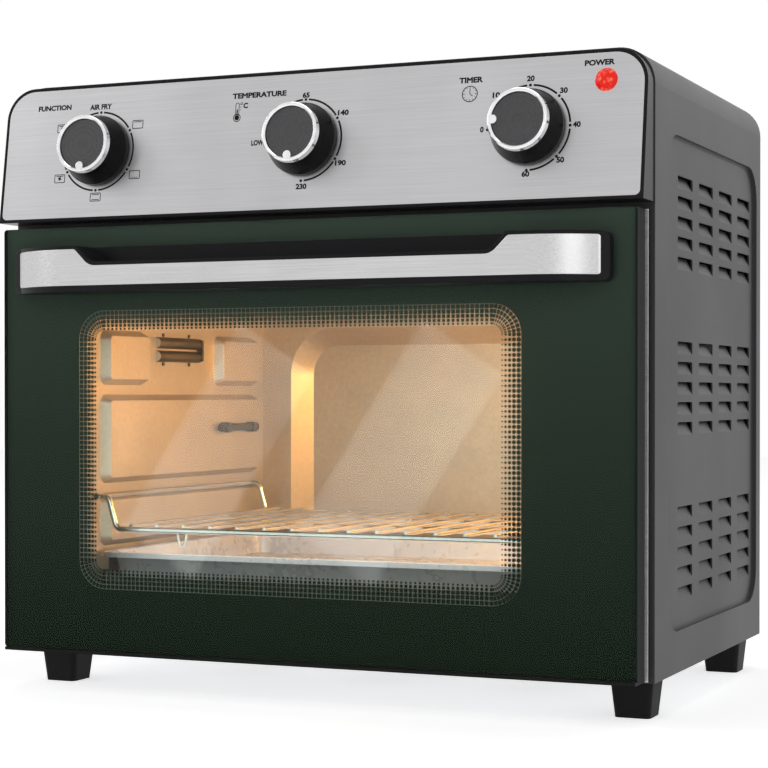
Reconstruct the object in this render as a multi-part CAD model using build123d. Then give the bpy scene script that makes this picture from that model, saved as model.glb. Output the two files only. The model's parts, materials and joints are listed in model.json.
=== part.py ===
from build123d import *
import math
import os

# Countertop air fryer oven. Millimetres, +Z up, +X to the right of someone facing the door, +Y to the back.
# The origin lies on the resting surface, under the middle of the whole outline.

# Body shell
body_width = 400.0
body_height = 339.8
body_depth = 255.0
foot_height = 22.0
wrap_wall = 1.2
top_corner_radius = 20.0
rear_edge_radius = 8.0
rear_lip_width = 15.0
sheet_wall = 1.0

# Pressed side panels and their louvres
side_panel_start = 23.5
side_panel_length = 215.0
side_panel_bottom = 44.0
side_panel_height = 276.5
side_panel_radius = 22.0
side_panel_depth = 2.5
louvre_front_margin = 31.5
louvre_length = 32.0
louvre_height = 7.0
louvre_corner = 1.5
louvre_press = 3.4
louvre_end_gap = 0.5
louvre_columns = 4
louvre_column_pitch = 46.8
louvre_rows = 5
louvre_row_pitch = 11.3
louvre_groups = 3
louvre_group_pitch = 92.5
louvre_lowest_row = 64.6

# Reach in front of and behind the body
door_gap = 2.5
door_depth = 18.9
handle_reach = 22.5
gland_reach = 6.0

# Door
door_width = 391.0
door_bottom_rise = 1.1
door_height = 251.5
glass_thickness = 4.0
glass_corner_radius = 2.0
bottom_trim_height = 1.9
side_rail_width = 2.0
door_back_overhang = 1.8
window_left = 147.0
window_right = 137.0
window_bottom_rise = 35.0
window_height = 172.0
window_radius = 20.0
tunnel_wall = 1.0

# Hinge
hinge_rise = 4.0
hinge_setback = 7.0
hinge_pin_radius = 2.0
hinge_pin_inset = 0.8
ear_inset = 10.5
ear_thickness = 2.5
ear_radius = 3.6
ear_slot_clearance = 0.8
inner_tab_gap = 3.0
bracket_foot_width = 7.5
bracket_foot_height = 22.0

# Handle
handle_half_length = 183.5
handle_bottom_rise = 212.4
handle_height = 26.5
handle_flat_half = 140.0
handle_bend_radius = 58.0
handle_bend_end = 178.0
handle_root_reach = 6.0
handle_back_wall = 5.0
handle_band_thickness = 5.5
handle_floor = 4.5
handle_end_corner = 4.0
pocket_half_length = 122.0
pocket_slope = 10.5
pocket_lip_drop = 9.5
pocket_corner = 7.0
trim_half_length = 179.0
trim_rise = 3.5
trim_height = 21.0
trim_narrow_height = 11.4
trim_narrow_half = 123.0
trim_slope = 9.6
trim_inner_bend = 9.0
trim_outer_bend = 3.0
trim_thickness = 1.0
trim_corner = 1.5
handle_screw_x = 160.0
handle_screw_radius = 2.0
handle_screw_head_radius = 4.0
handle_screw_head_height = 2.2
handle_screw_depth = 8.0

# Control bezel and fascia
bezel_side_inset = 0.55
bezel_top_inset = 1.9
bezel_height = 81.2
bezel_bottom_reach = 20.8
bezel_top_reach = 9.0
bezel_wall = 2.5
bezel_corner_radius = 18.5
control_opening_margin = 7.5
fascia_rim = 1.9
fascia_thickness = 0.8
fascia_top_radius = 16.8
fascia_bottom_radius = 3.0

# Knobs, placed up the slope of the fascia
knob_pitch = 134.0
knob_rise = 41.3
knob_skirt_radius = 20.8
knob_skirt_height = 3.0
knob_top_radius = 17.1
knob_gap = 0.6
knob_shoulder = 15.5
knob_face_rise = 2.0
ring_height = 4.0
ring_outer_radius = 16.9
ring_inner_radius = 14.7
ring_edge_round = 0.7
pointer_radius = 2.4
pointer_rise = 0.4
pointer_angles = {"function": 180.0, "temperature": 180.0, "timer": 270.0}
knob_wall = 2.2
knob_roof = 3.0
knob_hub_radius = 6.5
shaft_radius = 3.0
shaft_clearance = 0.05
shaft_top = 12.0
shaft_bottom = 15.0
bush_radius = 4.5
bush_clearance = 0.1
switch_width = 34.0
switch_height = 34.0
switch_depth = 22.0
switch_chamfer = 3.0
thermostat_radius = 19.0
thermostat_depth = 20.0
timer_radius = 25.0
timer_depth = 24.0
bell_radius = 22.0
bell_height = 9.0
bell_wall = 0.8

# Power lamp
lamp_inset = 23.5
lamp_rise = 65.2
lamp_radius = 6.3
lamp_dome = 2.8
lamp_clearance = 0.1
lamp_holder_radius = 8.0
lamp_holder_depth = 14.0
lamp_stem = 4.0

# Cavity
cavity_half_width = 152.0
cavity_bottom = 52.0
cavity_top = 256.0
cavity_depth = 236.0
cavity_corner_radius = 9.0
recess_half_width = 131.5
recess_bottom = 62.0
recess_top = 224.0
recess_radius = 34.0
recess_depth = 12.0
recess_slope = 45.0

# Pressed pads on the cavity sides: their upper edges are the runners
pad_height = 6.0
pad_slope = 30.0
pad_corner = 6.0
pad_front = 16.0
pad_length = 206.0
rack_pad_bottom = 84.0
rack_pad_top = 115.0
upper_pad_bottom = 122.0
upper_pad_top = 176.0
tray_ledge_top = 78.0
tray_ledge_height = 8.0
small_pad_bottom = 182.0
small_pad_top = 215.5
front_pad_length = 54.0
rear_pad_length = 60.0
vent_bead_radius = 3.4
vent_bead_length = 53.0
vent_bead_start = 85.0
vent_bead_top = 209.3
vent_bead_pitch = 8.6
sensor_radius = 2.6
sensor_start = 156.0
sensor_length = 52.0
sensor_height = 154.0
sensor_clip_width = 5.0
sensor_clip_wall = 0.8

# Heating rods
heater_radius = 4.0
heater_overhang = 16.0
upper_heater_drop = 10.0
lower_heater_rise = 7.0
heater_front = 48.0
heater_pitch = 128.0
insulator_radius = 8.0
insulator_neck_radius = 5.5
insulator_length = 6.0

# Convection fan
fan_centre_depth = 116.0
fan_radius = 56.0
fan_plate = 1.0
fan_blade_height = 11.0
fan_blade_width = 1.2
fan_blades_count = 10
fan_hub_radius = 8.0
fan_hub_height = 14.0
fan_to_ceiling = 6.0
fan_opening_radius = 60.0
guard_radius = 67.0
guard_thickness = 0.8
guard_hole_radius = 2.7
guard_hole_pitch = 8.4
guard_hole_rings = 6
housing_radius = 66.0
housing_height = 23.0
housing_wall = 0.8
shaft_hole_radius = 5.0
shield_half_width = 150.0
shield_front = 44.0
shield_length = 170.0
motor_radius = 28.0
motor_height = 40.0
motor_round = 3.0
motor_boss_radius = 6.0
motor_boss_height = 4.0
shaft_end_gap = 1.0

# Cavity lamp on the right-hand wall
oven_lamp_depth = 150.0
oven_lamp_height = 208.0
oven_lamp_radius = 18.0
oven_lamp_cover_radius = 21.5
oven_lamp_cover_thickness = 2.5
oven_lamp_air_gap = 9.3
oven_lamp_holder_wall = 1.5
bulb_radius = 8.0
bulb_front_gap = 4.0
bulb_cap_share = 0.3
bulb_cap_radius = 5.6

# Rack and tray
rack_side_inset = 4.5
rack_rod_radius = 1.8
rack_rod_overlap = 2.6
rack_wire_radius = 1.2
rack_drop = 19.5
rack_bend_start = 6.8
rack_bend_width = 5.7
rack_bend_radius = 5.0
rack_front = 7.0
rack_length = 200.0
rack_wires = 15
rack_wire_margin = 9.8
tray_front = 4.5
tray_length = 208.0
tray_rim_inset = 3.5
tray_rim_width = 5.0
tray_rim_thickness = 3.0
tray_depth = 15.0
tray_wall = 1.0
tray_draft = 3.0
tray_radius = 14.0
slide_gap = 0.3

# Feet
foot_inset = 17.9
foot_front = 28.1
foot_pitch = 198.8
foot_top_width = 24.6
foot_bottom_width = 20.2
foot_corner = 3.0
foot_screw_radius = 2.0
foot_screw_head_radius = 3.8
foot_screw_head_height = 2.0
foot_screw_depth = 9.0

# Back and base
vent_slot_length = 42.0
vent_slot_height = 4.0
vent_slot_rows = 9
vent_slot_pitch = 9.0
vent_column_x = 95.0
vent_lowest = 210.0
base_flange_height = 12.0
base_slot_rows = 7
base_slot_pitch = 14.0
back_screw_radius = 1.7
back_screw_head_radius = 2.8
back_screw_head_height = 1.6
back_screw_depth = 6.0
back_screw_rise = 40.0
gland_inset = 50.0
gland_rise = 38.0
gland_flange_radius = 11.0
gland_body_radius = 8.0
gland_bore_radius = 3.6
gland_inner_length = 12.0
terminal_length = 34.0
terminal_width = 16.0
terminal_height = 14.0
terminal_gap = 8.0
terminal_hole_depth = 5.0
terminal_hole_radius = 3.0

# Extra length of the shapes that cut holes
cut_margin = 1.0

# Places worked out from the sizes above
half_width = body_width / 2
foot_x = half_width - foot_inset
gland_x = half_width - gland_inset
lamp_x = half_width - lamp_inset
body_bottom = foot_height
body_top = body_bottom + body_height
front_reach = door_gap + door_depth + handle_reach
flange_y = front_reach - (front_reach + body_depth + gland_reach) / 2
back_y = flange_y + body_depth
frame_back_y = flange_y + sheet_wall
lip_y = back_y - wrap_wall
panel_front_y = lip_y - sheet_wall
door_half = door_width / 2
ear_centre_x = door_half - ear_inset
door_bottom = body_bottom + door_bottom_rise
door_top = door_bottom + door_height
door_back_y = flange_y - door_gap
door_front_y = door_back_y - door_depth
glass_back_y = door_front_y + glass_thickness
hinge_y = flange_y - hinge_setback
hinge_z = door_bottom + hinge_rise
handle_bottom = door_bottom + handle_bottom_rise
handle_top = handle_bottom + handle_height
handle_mid_z = handle_bottom + trim_rise + trim_height / 2
bezel_top = body_top - bezel_top_inset
bezel_bottom = bezel_top - bezel_height
bezel_half = half_width - bezel_side_inset
cavity_back_y = flange_y + cavity_depth
cavity_mid_z = (cavity_bottom + cavity_top) / 2
fan_y = flange_y + fan_centre_depth
shield_z = cavity_top + sheet_wall + housing_height + housing_wall
cavity_outer_x = cavity_half_width + sheet_wall
oven_lamp_holder_length = half_width - side_panel_depth - wrap_wall - oven_lamp_air_gap - cavity_outer_x
bulb_length = oven_lamp_holder_length - oven_lamp_holder_wall - bulb_front_gap
panel_skin = fascia_thickness + bezel_wall

# The fascia leans back: its plane has local X to the right, local Y up the slope and local Z outwards
slope_run = bezel_bottom_reach - bezel_top_reach
slope_length = math.hypot(slope_run, bezel_height)
fascia_plane = Plane(
    origin=(0, flange_y - bezel_bottom_reach, bezel_bottom),
    x_dir=(1, 0, 0),
    z_dir=(0, -bezel_height / slope_length, slope_run / slope_length),
)


def box(x_low, x_high, y_low, y_high, z_low, z_high):
    """A box given by its six faces."""
    middle = Pos((x_low + x_high) / 2, (y_low + y_high) / 2, (z_low + z_high) / 2)
    return middle * Box(x_high - x_low, y_high - y_low, z_high - z_low)


def front_slab(shape, y_front, y_back):
    """A front-view outline (X, Z) made solid from y_front to y_back."""
    plane = Plane(origin=(0, y_front, 0), x_dir=(1, 0, 0), z_dir=(0, -1, 0))
    return extrude(plane * shape, amount=y_back - y_front, dir=(0, 1, 0))


def side_slab(shape, x_low, x_high):
    """A side-view outline (Y, Z) made solid from x_low to x_high."""
    plane = Plane(origin=(x_low, 0, 0), x_dir=(0, 1, 0), z_dir=(1, 0, 0))
    return extrude(plane * shape, amount=x_high - x_low, dir=(1, 0, 0))


def flat_slab(shape, z_low, z_high):
    """A plan outline (X, Y) made solid from z_low to z_high."""
    return extrude(Pos(0, 0, z_low) * shape, amount=z_high - z_low, dir=(0, 0, 1))


def rod_x(x_low, x_high, y, z, radius):
    """A round bar along X."""
    return side_slab(Pos(y, z) * Circle(radius), x_low, x_high)


def rod_y(y_low, y_high, x, z, radius):
    """A round bar along Y."""
    return front_slab(Pos(x, z) * Circle(radius), y_low, y_high)


def rod_z(z_low, z_high, x, y, radius):
    """A round bar along Z."""
    return flat_slab(Pos(x, y) * Circle(radius), z_low, z_high)


def on_fascia(x, rise, solid):
    """Places a solid, drawn about local Z, square to the fascia."""
    return fascia_plane * (Pos(x, rise, 0) * solid)


def turned(points):
    """A solid turned about local Z from (radius, height) points."""
    return revolve(make_face(Plane.XZ * Polyline(*points, close=True)), Axis.Z)


def arch_outline(half, bottom, top, radius):
    """A front-view rectangle with rounded upper corners."""
    outline = Pos(0, (bottom + top) / 2) * Rectangle(2 * half, top - bottom)
    return fillet(outline.vertices().group_by(Axis.Y)[-1], radius)


def body_outline(inset, bottom):
    """The body's front-view outline, drawn in by inset at the sides and the top."""
    return arch_outline(half_width - inset, bottom, body_top - inset, top_corner_radius - inset)


def rounded_rear(solid, radius):
    """Rounds the rear edges of a body-shaped block, leaving the bottom one sharp."""
    rear_edges = solid.faces().sort_by(Axis.Y)[-1].edges().sort_by(Axis.Z)
    return fillet(rear_edges[1:], radius)


def side_panel_outline(inset):
    """The side-view outline of the pressed panel."""
    middle = Pos(
        flange_y + side_panel_start + side_panel_length / 2,
        side_panel_bottom + side_panel_height / 2,
    )
    width = side_panel_length - 2 * inset
    height = side_panel_height - 2 * inset
    return middle * RectangleRounded(width, height, side_panel_radius - inset)


def louvre_places():
    """Side-view places (Y, Z) of the louvres of one side."""
    first_y = flange_y + side_panel_start + louvre_front_margin + louvre_length / 2
    places = []
    for group in range(louvre_groups):
        for row in range(louvre_rows):
            for column in range(louvre_columns):
                z = louvre_lowest_row + group * louvre_group_pitch + row * louvre_row_pitch
                places.append((first_y + column * louvre_column_pitch, z))
    return places


def louvre_outline():
    """All the louvre openings of one side, in side view."""
    slot = RectangleRounded(louvre_length, louvre_height, louvre_corner)
    return Sketch() + [Pos(y, z) * slot for y, z in louvre_places()]


def louvre_flap(side, y, z):
    """A flap pressed in from a louvre's lower edge, which leaves the opening at its top."""
    face = half_width - side_panel_depth
    low = z - louvre_height / 2
    high = z + louvre_height / 2
    profile = [
        (face, low - wrap_wall), (face, low), (face - louvre_press, high),
        (face - louvre_press - wrap_wall, high), (face - wrap_wall, low), (face - wrap_wall, low - wrap_wall),
    ]
    half = louvre_length / 2 - louvre_end_gap
    return front_slab(Polygon(*[(side * x, z) for x, z in profile], align=None), y - half, y + half)


def back_screw_places():
    """Front-view places of the screws that hold the back panel to the rear lip."""
    inset = (rear_edge_radius + rear_lip_width) / 2
    side_x = half_width - inset
    top_z = body_top - inset
    heights = [body_bottom + back_screw_rise, (body_bottom + body_top) / 2]
    places = [(side * side_x, z) for side in (-1, 1) for z in heights]
    return places + [(side * half_width / 2, top_z) for side in (-1, 1)]


def make_outer_wrap():
    """The painted steel cover: two sides, the top and a lip round the back."""
    outer = rounded_rear(front_slab(body_outline(0, body_bottom), flange_y, back_y), rear_edge_radius)
    hollow = front_slab(body_outline(wrap_wall, body_bottom - wrap_wall), flange_y - wrap_wall, lip_y)
    hollow = rounded_rear(hollow, rear_edge_radius - wrap_wall)
    rear_opening = arch_outline(
        half_width - rear_lip_width,
        body_bottom - wrap_wall,
        body_top - rear_lip_width,
        top_corner_radius - rear_lip_width,
    )
    wrap = outer - hollow - front_slab(rear_opening, lip_y - wrap_wall, back_y + wrap_wall)
    floor_x = half_width - side_panel_depth
    for side in (-1, 1):
        inner = sorted((side * (floor_x - wrap_wall), side * (half_width - wrap_wall / 2)))
        outward = sorted((side * floor_x, side * (half_width + wrap_wall)))
        wrap = wrap + side_slab(side_panel_outline(0), *inner)
        wrap = wrap - side_slab(side_panel_outline(wrap_wall), *outward)
    wrap = wrap - side_slab(louvre_outline(), -half_width, half_width)
    wrap = wrap + [louvre_flap(side, y, z) for side in (-1, 1) for y, z in louvre_places()]
    for x, z in back_screw_places():
        wrap = wrap - rod_y(lip_y - wrap_wall, back_y + wrap_wall, x, z, back_screw_radius + bush_clearance)
    return wrap


def foot_places():
    """Plan places of the feet, by name."""
    rows = {"front": flange_y + foot_front, "rear": flange_y + foot_front + foot_pitch}
    columns = {"left": -foot_x, "right": foot_x}
    return {f"foot_{row}_{column}": (x, y) for row, y in rows.items() for column, x in columns.items()}


def make_base_pan():
    """The bottom pan, with turned-up sides inside the cover and slots under the cavity."""
    half = half_width - wrap_wall
    length = panel_front_y - frame_back_y
    outline = Pos(0, frame_back_y + length / 2) * Rectangle(2 * half, length)
    outline = fillet(outline.vertices().group_by(Axis.Y)[-1], rear_edge_radius)
    pan = flat_slab(outline, body_bottom, body_bottom + sheet_wall)
    flange_top = body_bottom + base_flange_height
    for side in (-1, 1):
        span = sorted((side * half, side * (half - sheet_wall)))
        pan = pan + box(*span, frame_back_y, panel_front_y - rear_edge_radius, body_bottom, flange_top)
    slot = SlotOverall(vent_slot_length, vent_slot_height)
    first_y = flange_y + body_depth / 2 - (base_slot_rows - 1) * base_slot_pitch / 2
    slots = [
        Pos(side * vent_column_x, first_y + row * base_slot_pitch) * slot
        for side in (-1, 0, 1)
        for row in range(base_slot_rows)
    ]
    pan = pan - flat_slab(Sketch() + slots, body_bottom - sheet_wall, body_bottom + 2 * sheet_wall)
    for x, y in foot_places().values():
        pan = pan - rod_z(body_bottom - sheet_wall, body_bottom + 2 * sheet_wall, x, y, foot_screw_radius)
    return pan


def make_back_panel():
    """The flat back sheet inside the rear lip, with vents and the cord inlet hole."""
    inset = rear_edge_radius + sheet_wall
    outline = arch_outline(
        half_width - inset, body_bottom + sheet_wall, body_top - inset, top_corner_radius - inset
    )
    panel = front_slab(outline, panel_front_y, lip_y)
    slot = SlotOverall(vent_slot_length, vent_slot_height)
    slots = [
        Pos(side * vent_column_x, vent_lowest + row * vent_slot_pitch) * slot
        for side in (-1, 1)
        for row in range(vent_slot_rows)
    ]
    panel = panel - front_slab(Sketch() + slots, panel_front_y - sheet_wall, back_y)
    gland_z = body_bottom + gland_rise
    panel = panel - rod_y(panel_front_y - sheet_wall, back_y, gland_x, gland_z, gland_body_radius)
    for x, z in back_screw_places():
        panel = panel - rod_y(panel_front_y - sheet_wall, back_y, x, z, back_screw_radius)
    return panel


def make_back_screws():
    """The screws in the rear lip, one solid each."""
    screws = []
    for x, z in back_screw_places():
        head = rod_y(back_y, back_y + back_screw_head_height, x, z, back_screw_head_radius)
        shank = rod_y(back_y - back_screw_depth, back_y, x, z, back_screw_radius)
        screws.append(head + shank)
    return screws


def make_cord_gland():
    """The bush that lines the cord inlet."""
    z = body_bottom + gland_rise
    flange = rod_y(lip_y, back_y + gland_reach, gland_x, z, gland_flange_radius)
    rim = flange.edges().filter_by(GeomType.CIRCLE).sort_by(Axis.Y)[-1]
    flange = fillet(rim, gland_reach / 3)
    body = rod_y(panel_front_y - gland_inner_length, lip_y, gland_x, z, gland_body_radius)
    bore_low = panel_front_y - 2 * gland_inner_length
    bore = rod_y(bore_low, back_y + 2 * gland_reach, gland_x, z, gland_bore_radius)
    return flange + body - bore


def cavity_opening(inset):
    """The front-view outline of the cavity's mouth."""
    width = 2 * (cavity_half_width - inset)
    height = cavity_top - cavity_bottom - 2 * inset
    return Pos(0, cavity_mid_z) * RectangleRounded(width, height, cavity_corner_radius)


def ear_span():
    """The X span of the right-hand hinge ear."""
    return ear_centre_x - ear_thickness / 2, ear_centre_x + ear_thickness / 2


def make_front_frame():
    """The front plate that ties the cover, the cavity and the control bezel together."""
    plate = front_slab(body_outline(wrap_wall, body_bottom), flange_y, frame_back_y)
    plate = plate - front_slab(cavity_opening(0), flange_y - sheet_wall, frame_back_y + sheet_wall)
    control_opening = Pos(0, (bezel_bottom + bezel_top) / 2) * RectangleRounded(
        2 * (bezel_half - control_opening_margin),
        bezel_height - 2 * control_opening_margin,
        control_opening_margin,
    )
    plate = plate - front_slab(control_opening, flange_y - sheet_wall, frame_back_y + sheet_wall)
    low, high = ear_span()
    for side in (-1, 1):
        span = sorted((side * (low - bush_clearance), side * (high + bush_clearance)))
        plate = plate - box(
            *span,
            flange_y - sheet_wall,
            frame_back_y + sheet_wall,
            hinge_z - ear_radius - bush_clearance,
            hinge_z + ear_radius + bush_clearance,
        )
    return plate


def make_hinge_brackets():
    """Two steel ears that carry the door pins, each on a foot behind the front plate."""
    brackets = []
    low, high = ear_span()
    for side in (-1, 1):
        span = sorted((side * low, side * high))
        ear = side_slab(Pos(hinge_y, hinge_z) * Circle(ear_radius), *span)
        neck = box(*span, hinge_y, frame_back_y, hinge_z - ear_radius, hinge_z + ear_radius)
        foot_low, foot_high = sorted((side * (low - bracket_foot_width), side * high))
        foot = box(
            foot_low,
            foot_high,
            frame_back_y,
            frame_back_y + sheet_wall,
            hinge_z - ear_radius,
            hinge_z - ear_radius + bracket_foot_height,
        )
        bore_span = (foot_low - cut_margin, foot_high + cut_margin)
        bore = rod_x(*bore_span, hinge_y, hinge_z, hinge_pin_radius + shaft_clearance)
        brackets.append(ear + neck + foot - bore)
    return brackets


def make_foot(x, y):
    """A tapered square rubber foot."""
    top = Pos(x, y, foot_height) * RectangleRounded(foot_top_width, foot_top_width, foot_corner)
    bottom = Pos(x, y, 0) * RectangleRounded(foot_bottom_width, foot_bottom_width, foot_corner)
    foot = loft([bottom, top])
    return foot - rod_z(foot_height - foot_screw_depth, foot_height + cut_margin, x, y, foot_screw_radius)


def make_foot_screws():
    """The screws that hold the feet from inside the base pan."""
    screws = []
    seat = body_bottom + sheet_wall
    for x, y in foot_places().values():
        head = rod_z(seat, seat + foot_screw_head_height, x, y, foot_screw_head_radius)
        shank = rod_z(foot_height - foot_screw_depth, seat, x, y, foot_screw_radius)
        screws.append(head + shank)
    return screws


def pad(side, y_start, length, z_low, z_high):
    """A pressed pad on a cavity side wall, with sloping edges."""
    wall_x = side * cavity_half_width
    plane = Plane(origin=(wall_x, 0, 0), x_dir=(0, 1, 0), z_dir=(-side, 0, 0))
    height = z_high - z_low
    outline = RectangleRounded(length, height, pad_corner)
    centre_y = flange_y + y_start + length / 2
    centre_z = (z_low + z_high) / 2
    local = plane.to_local_coords(Vector(wall_x, centre_y, centre_z))
    return extrude(plane * (Pos(local.X, local.Y) * outline), amount=pad_height, taper=pad_slope)


def make_cavity_side(side):
    """A cavity side wall with its pressed pads, the tray ledge and the heating rods' holes."""
    span = sorted((side * cavity_half_width, side * cavity_outer_x))
    cut_span = (span[0] - cut_margin, span[1] + cut_margin)
    wall = box(*span, frame_back_y, cavity_back_y, cavity_bottom, cavity_top)
    wall = wall + pad(side, pad_front, pad_length, rack_pad_bottom, rack_pad_top)
    wall = wall + pad(side, pad_front, pad_length, upper_pad_bottom, upper_pad_top)
    ledge_span = sorted((side * cavity_half_width, side * (cavity_half_width - pad_height)))
    ledge_low = tray_ledge_top - tray_ledge_height
    ledge_start = flange_y + pad_front
    wall = wall + box(*ledge_span, ledge_start, ledge_start + pad_length, ledge_low, tray_ledge_top)
    if side < 0:
        wall = wall + pad(side, pad_front, front_pad_length, small_pad_bottom, small_pad_top)
        rear_start = pad_front + pad_length - rear_pad_length
        wall = wall + pad(side, rear_start, rear_pad_length, small_pad_bottom, small_pad_top)
        for row in range(2):
            z = vent_bead_top - row * vent_bead_pitch
            start = flange_y + vent_bead_start
            bead = rod_y(start, start + vent_bead_length, -cavity_half_width, z, vent_bead_radius)
            keep = box(
                -cavity_half_width, -cavity_half_width + vent_bead_radius,
                start, start + vent_bead_length, z - vent_bead_radius, z + vent_bead_radius,
            )
            wall = wall + (bead & keep)
    else:
        lamp_y = flange_y + oven_lamp_depth
        wall = wall - rod_x(*cut_span, lamp_y, oven_lamp_height, oven_lamp_radius)
    for y, z in heater_places():
        wall = wall - rod_x(*cut_span, y, z, insulator_neck_radius)
    return wall


def make_thermostat_sensor():
    """The thermostat's sensing bulb, held along the left wall's upper pad by two clips."""
    face_x = pad_height - cavity_half_width
    start = flange_y + sensor_start
    end = start + sensor_length
    sensor = rod_y(start, end, face_x + sensor_radius, sensor_height, sensor_radius)
    reach = sensor_radius + sensor_clip_wall
    for y in (start + sensor_clip_width, end - 2 * sensor_clip_width):
        sensor = sensor + box(
            face_x, face_x + sensor_radius + reach, y, y + sensor_clip_width,
            sensor_height - reach, sensor_height + reach,
        )
    return sensor


def make_cavity_floor():
    """The cavity's bottom sheet."""
    half = cavity_outer_x
    return box(-half, half, frame_back_y, cavity_back_y, cavity_bottom - sheet_wall, cavity_bottom)


def make_cavity_ceiling():
    """The cavity's top sheet, open under the fan."""
    half = cavity_outer_x
    sheet = box(-half, half, frame_back_y, cavity_back_y, cavity_top, cavity_top + sheet_wall)
    return sheet - rod_z(cavity_top - sheet_wall, cavity_top + 2 * sheet_wall, 0, fan_y, fan_opening_radius)


def recess_outline(inset):
    """The front-view outline of the pressed recess in the cavity's back."""
    width = 2 * (recess_half_width - inset)
    height = recess_top - recess_bottom - 2 * inset
    middle = Pos(0, (recess_top + recess_bottom) / 2)
    return middle * RectangleRounded(width, height, recess_radius - inset)


def make_cavity_back():
    """The cavity's back sheet, pressed out to give round dishes more depth."""
    half = cavity_outer_x
    low = cavity_bottom - sheet_wall
    high = cavity_top + sheet_wall
    sheet = box(-half, half, cavity_back_y, cavity_back_y + sheet_wall, low, high)
    plane = Plane(origin=(0, cavity_back_y, 0), x_dir=(-1, 0, 0), z_dir=(0, 1, 0))
    skin = sheet_wall * math.sqrt(2)
    outside = extrude(plane * recess_outline(0), amount=recess_depth + sheet_wall, taper=recess_slope)
    inside = extrude(plane * recess_outline(skin), amount=recess_depth, taper=recess_slope)
    return sheet + outside - inside


def heater_places():
    """Side-view places of the four heating rods."""
    front_y = flange_y + heater_front
    heights = [cavity_top - upper_heater_drop, cavity_bottom + lower_heater_rise]
    return [(front_y + row * heater_pitch, z) for z in heights for row in range(2)]


def make_heaters(places):
    """A pair of straight sheathed heating rods with thinner terminal pins."""
    rods = []
    reach = cavity_half_width + heater_overhang
    for y, z in places:
        rod = rod_x(-reach, reach, y, z, heater_radius)
        pins = rod_x(-reach - heater_radius, reach + heater_radius, y, z, heater_radius / 3)
        rods.append(rod + pins)
    return rods


def make_heater_insulators():
    """Ceramic bushes that carry the rods in the side walls."""
    bushes = []
    wall_x = cavity_outer_x
    for y, z in heater_places():
        for side in (-1, 1):
            collar_span = sorted((side * wall_x, side * (wall_x + insulator_length)))
            collar = rod_x(*collar_span, y, z, insulator_radius)
            neck = rod_x(*sorted((side * cavity_half_width, side * wall_x)), y, z, insulator_neck_radius)
            reach = wall_x + insulator_length + cut_margin
            bore_span = sorted((side * (cavity_half_width - cut_margin), side * reach))
            bore = rod_x(*bore_span, y, z, heater_radius)
            bushes.append(collar + neck - bore)
    return bushes


def make_fan_housing():
    """The round cup over the fan."""
    low = cavity_top + sheet_wall
    cup = rod_z(low, low + housing_height + housing_wall, 0, fan_y, housing_radius + housing_wall)
    cup = cup - rod_z(low - cut_margin, low + housing_height, 0, fan_y, housing_radius)
    return cup - rod_z(low, low + 2 * housing_height, 0, fan_y, shaft_hole_radius)


def make_fan_guard():
    """The perforated disc under the fan."""
    low = cavity_top - guard_thickness
    disc = rod_z(low, cavity_top, 0, fan_y, guard_radius)
    holes = [Pos(0, fan_y) * Circle(guard_hole_radius)]
    for ring in range(1, guard_hole_rings + 1):
        radius = ring * guard_hole_pitch
        count = 6 * ring
        for step in range(count):
            angle = 2 * math.pi * step / count
            centre = Pos(radius * math.cos(angle), fan_y + radius * math.sin(angle))
            holes.append(centre * Circle(guard_hole_radius))
    return disc - flat_slab(Sketch() + holes, low - cut_margin, cavity_top + cut_margin)


def make_heat_shield():
    """The shelf over the fan housing, on two legs, which carries the motor."""
    start = flange_y + shield_front
    end = start + shield_length
    shelf = box(-shield_half_width, shield_half_width, start, end, shield_z, shield_z + sheet_wall)
    for side in (-1, 1):
        span = sorted((side * shield_half_width, side * (shield_half_width - sheet_wall)))
        shelf = shelf + box(*span, start, end, cavity_top + sheet_wall, shield_z)
    return shelf - rod_z(shield_z - sheet_wall, shield_z + 2 * sheet_wall, 0, fan_y, shaft_hole_radius)


def make_fan_motor():
    """The motor that turns the fan, with the bore for its shaft."""
    low = shield_z + sheet_wall
    can = rod_z(low, low + motor_height, 0, fan_y, motor_radius)
    can = fillet(can.edges().filter_by(GeomType.CIRCLE).sort_by(Axis.Z)[-1], motor_round)
    boss = rod_z(low + motor_height, low + motor_height + motor_boss_height, 0, fan_y, motor_boss_radius)
    bore = rod_z(low - cut_margin, low + motor_height, 0, fan_y, shaft_radius + shaft_clearance)
    return can + boss - bore


def make_fan():
    """The radial fan: a disc, its blades under it and a hub."""
    blade_low = cavity_top + sheet_wall + fan_to_ceiling
    disc_low = blade_low + fan_blade_height
    hub = rod_z(disc_low + fan_plate - fan_hub_height, disc_low + fan_plate, 0, fan_y, fan_hub_radius)
    wheel = hub + rod_z(disc_low, disc_low + fan_plate, 0, fan_y, fan_radius)
    blade = box(
        fan_hub_radius - fan_blade_width, fan_radius - fan_blade_width,
        -fan_blade_width / 2, fan_blade_width / 2, blade_low, disc_low + fan_plate / 2,
    )
    for step in range(fan_blades_count):
        wheel = wheel + Pos(0, fan_y, 0) * (Rot(0, 0, 360 * step / fan_blades_count) * blade)
    bore = rod_z(blade_low - fan_hub_height, disc_low + fan_hub_height, 0, fan_y, shaft_radius)
    return wheel - bore


def make_fan_shaft():
    """The motor's shaft, down to the fan's hub."""
    blade_low = cavity_top + sheet_wall + fan_to_ceiling
    hub_low = blade_low + fan_blade_height + fan_plate - fan_hub_height
    return rod_z(hub_low, shield_z + sheet_wall + motor_height - shaft_end_gap, 0, fan_y, shaft_radius)


def make_oven_lamp_cover():
    """The heat-proof glass over the cavity lamp."""
    y = flange_y + oven_lamp_depth
    low = cavity_half_width - oven_lamp_cover_thickness
    disc = rod_x(low, cavity_half_width, y, oven_lamp_height, oven_lamp_cover_radius)
    rim = disc.edges().filter_by(GeomType.CIRCLE).sort_by(Axis.X)[0]
    return fillet(rim, oven_lamp_cover_thickness * 0.6)


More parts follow.
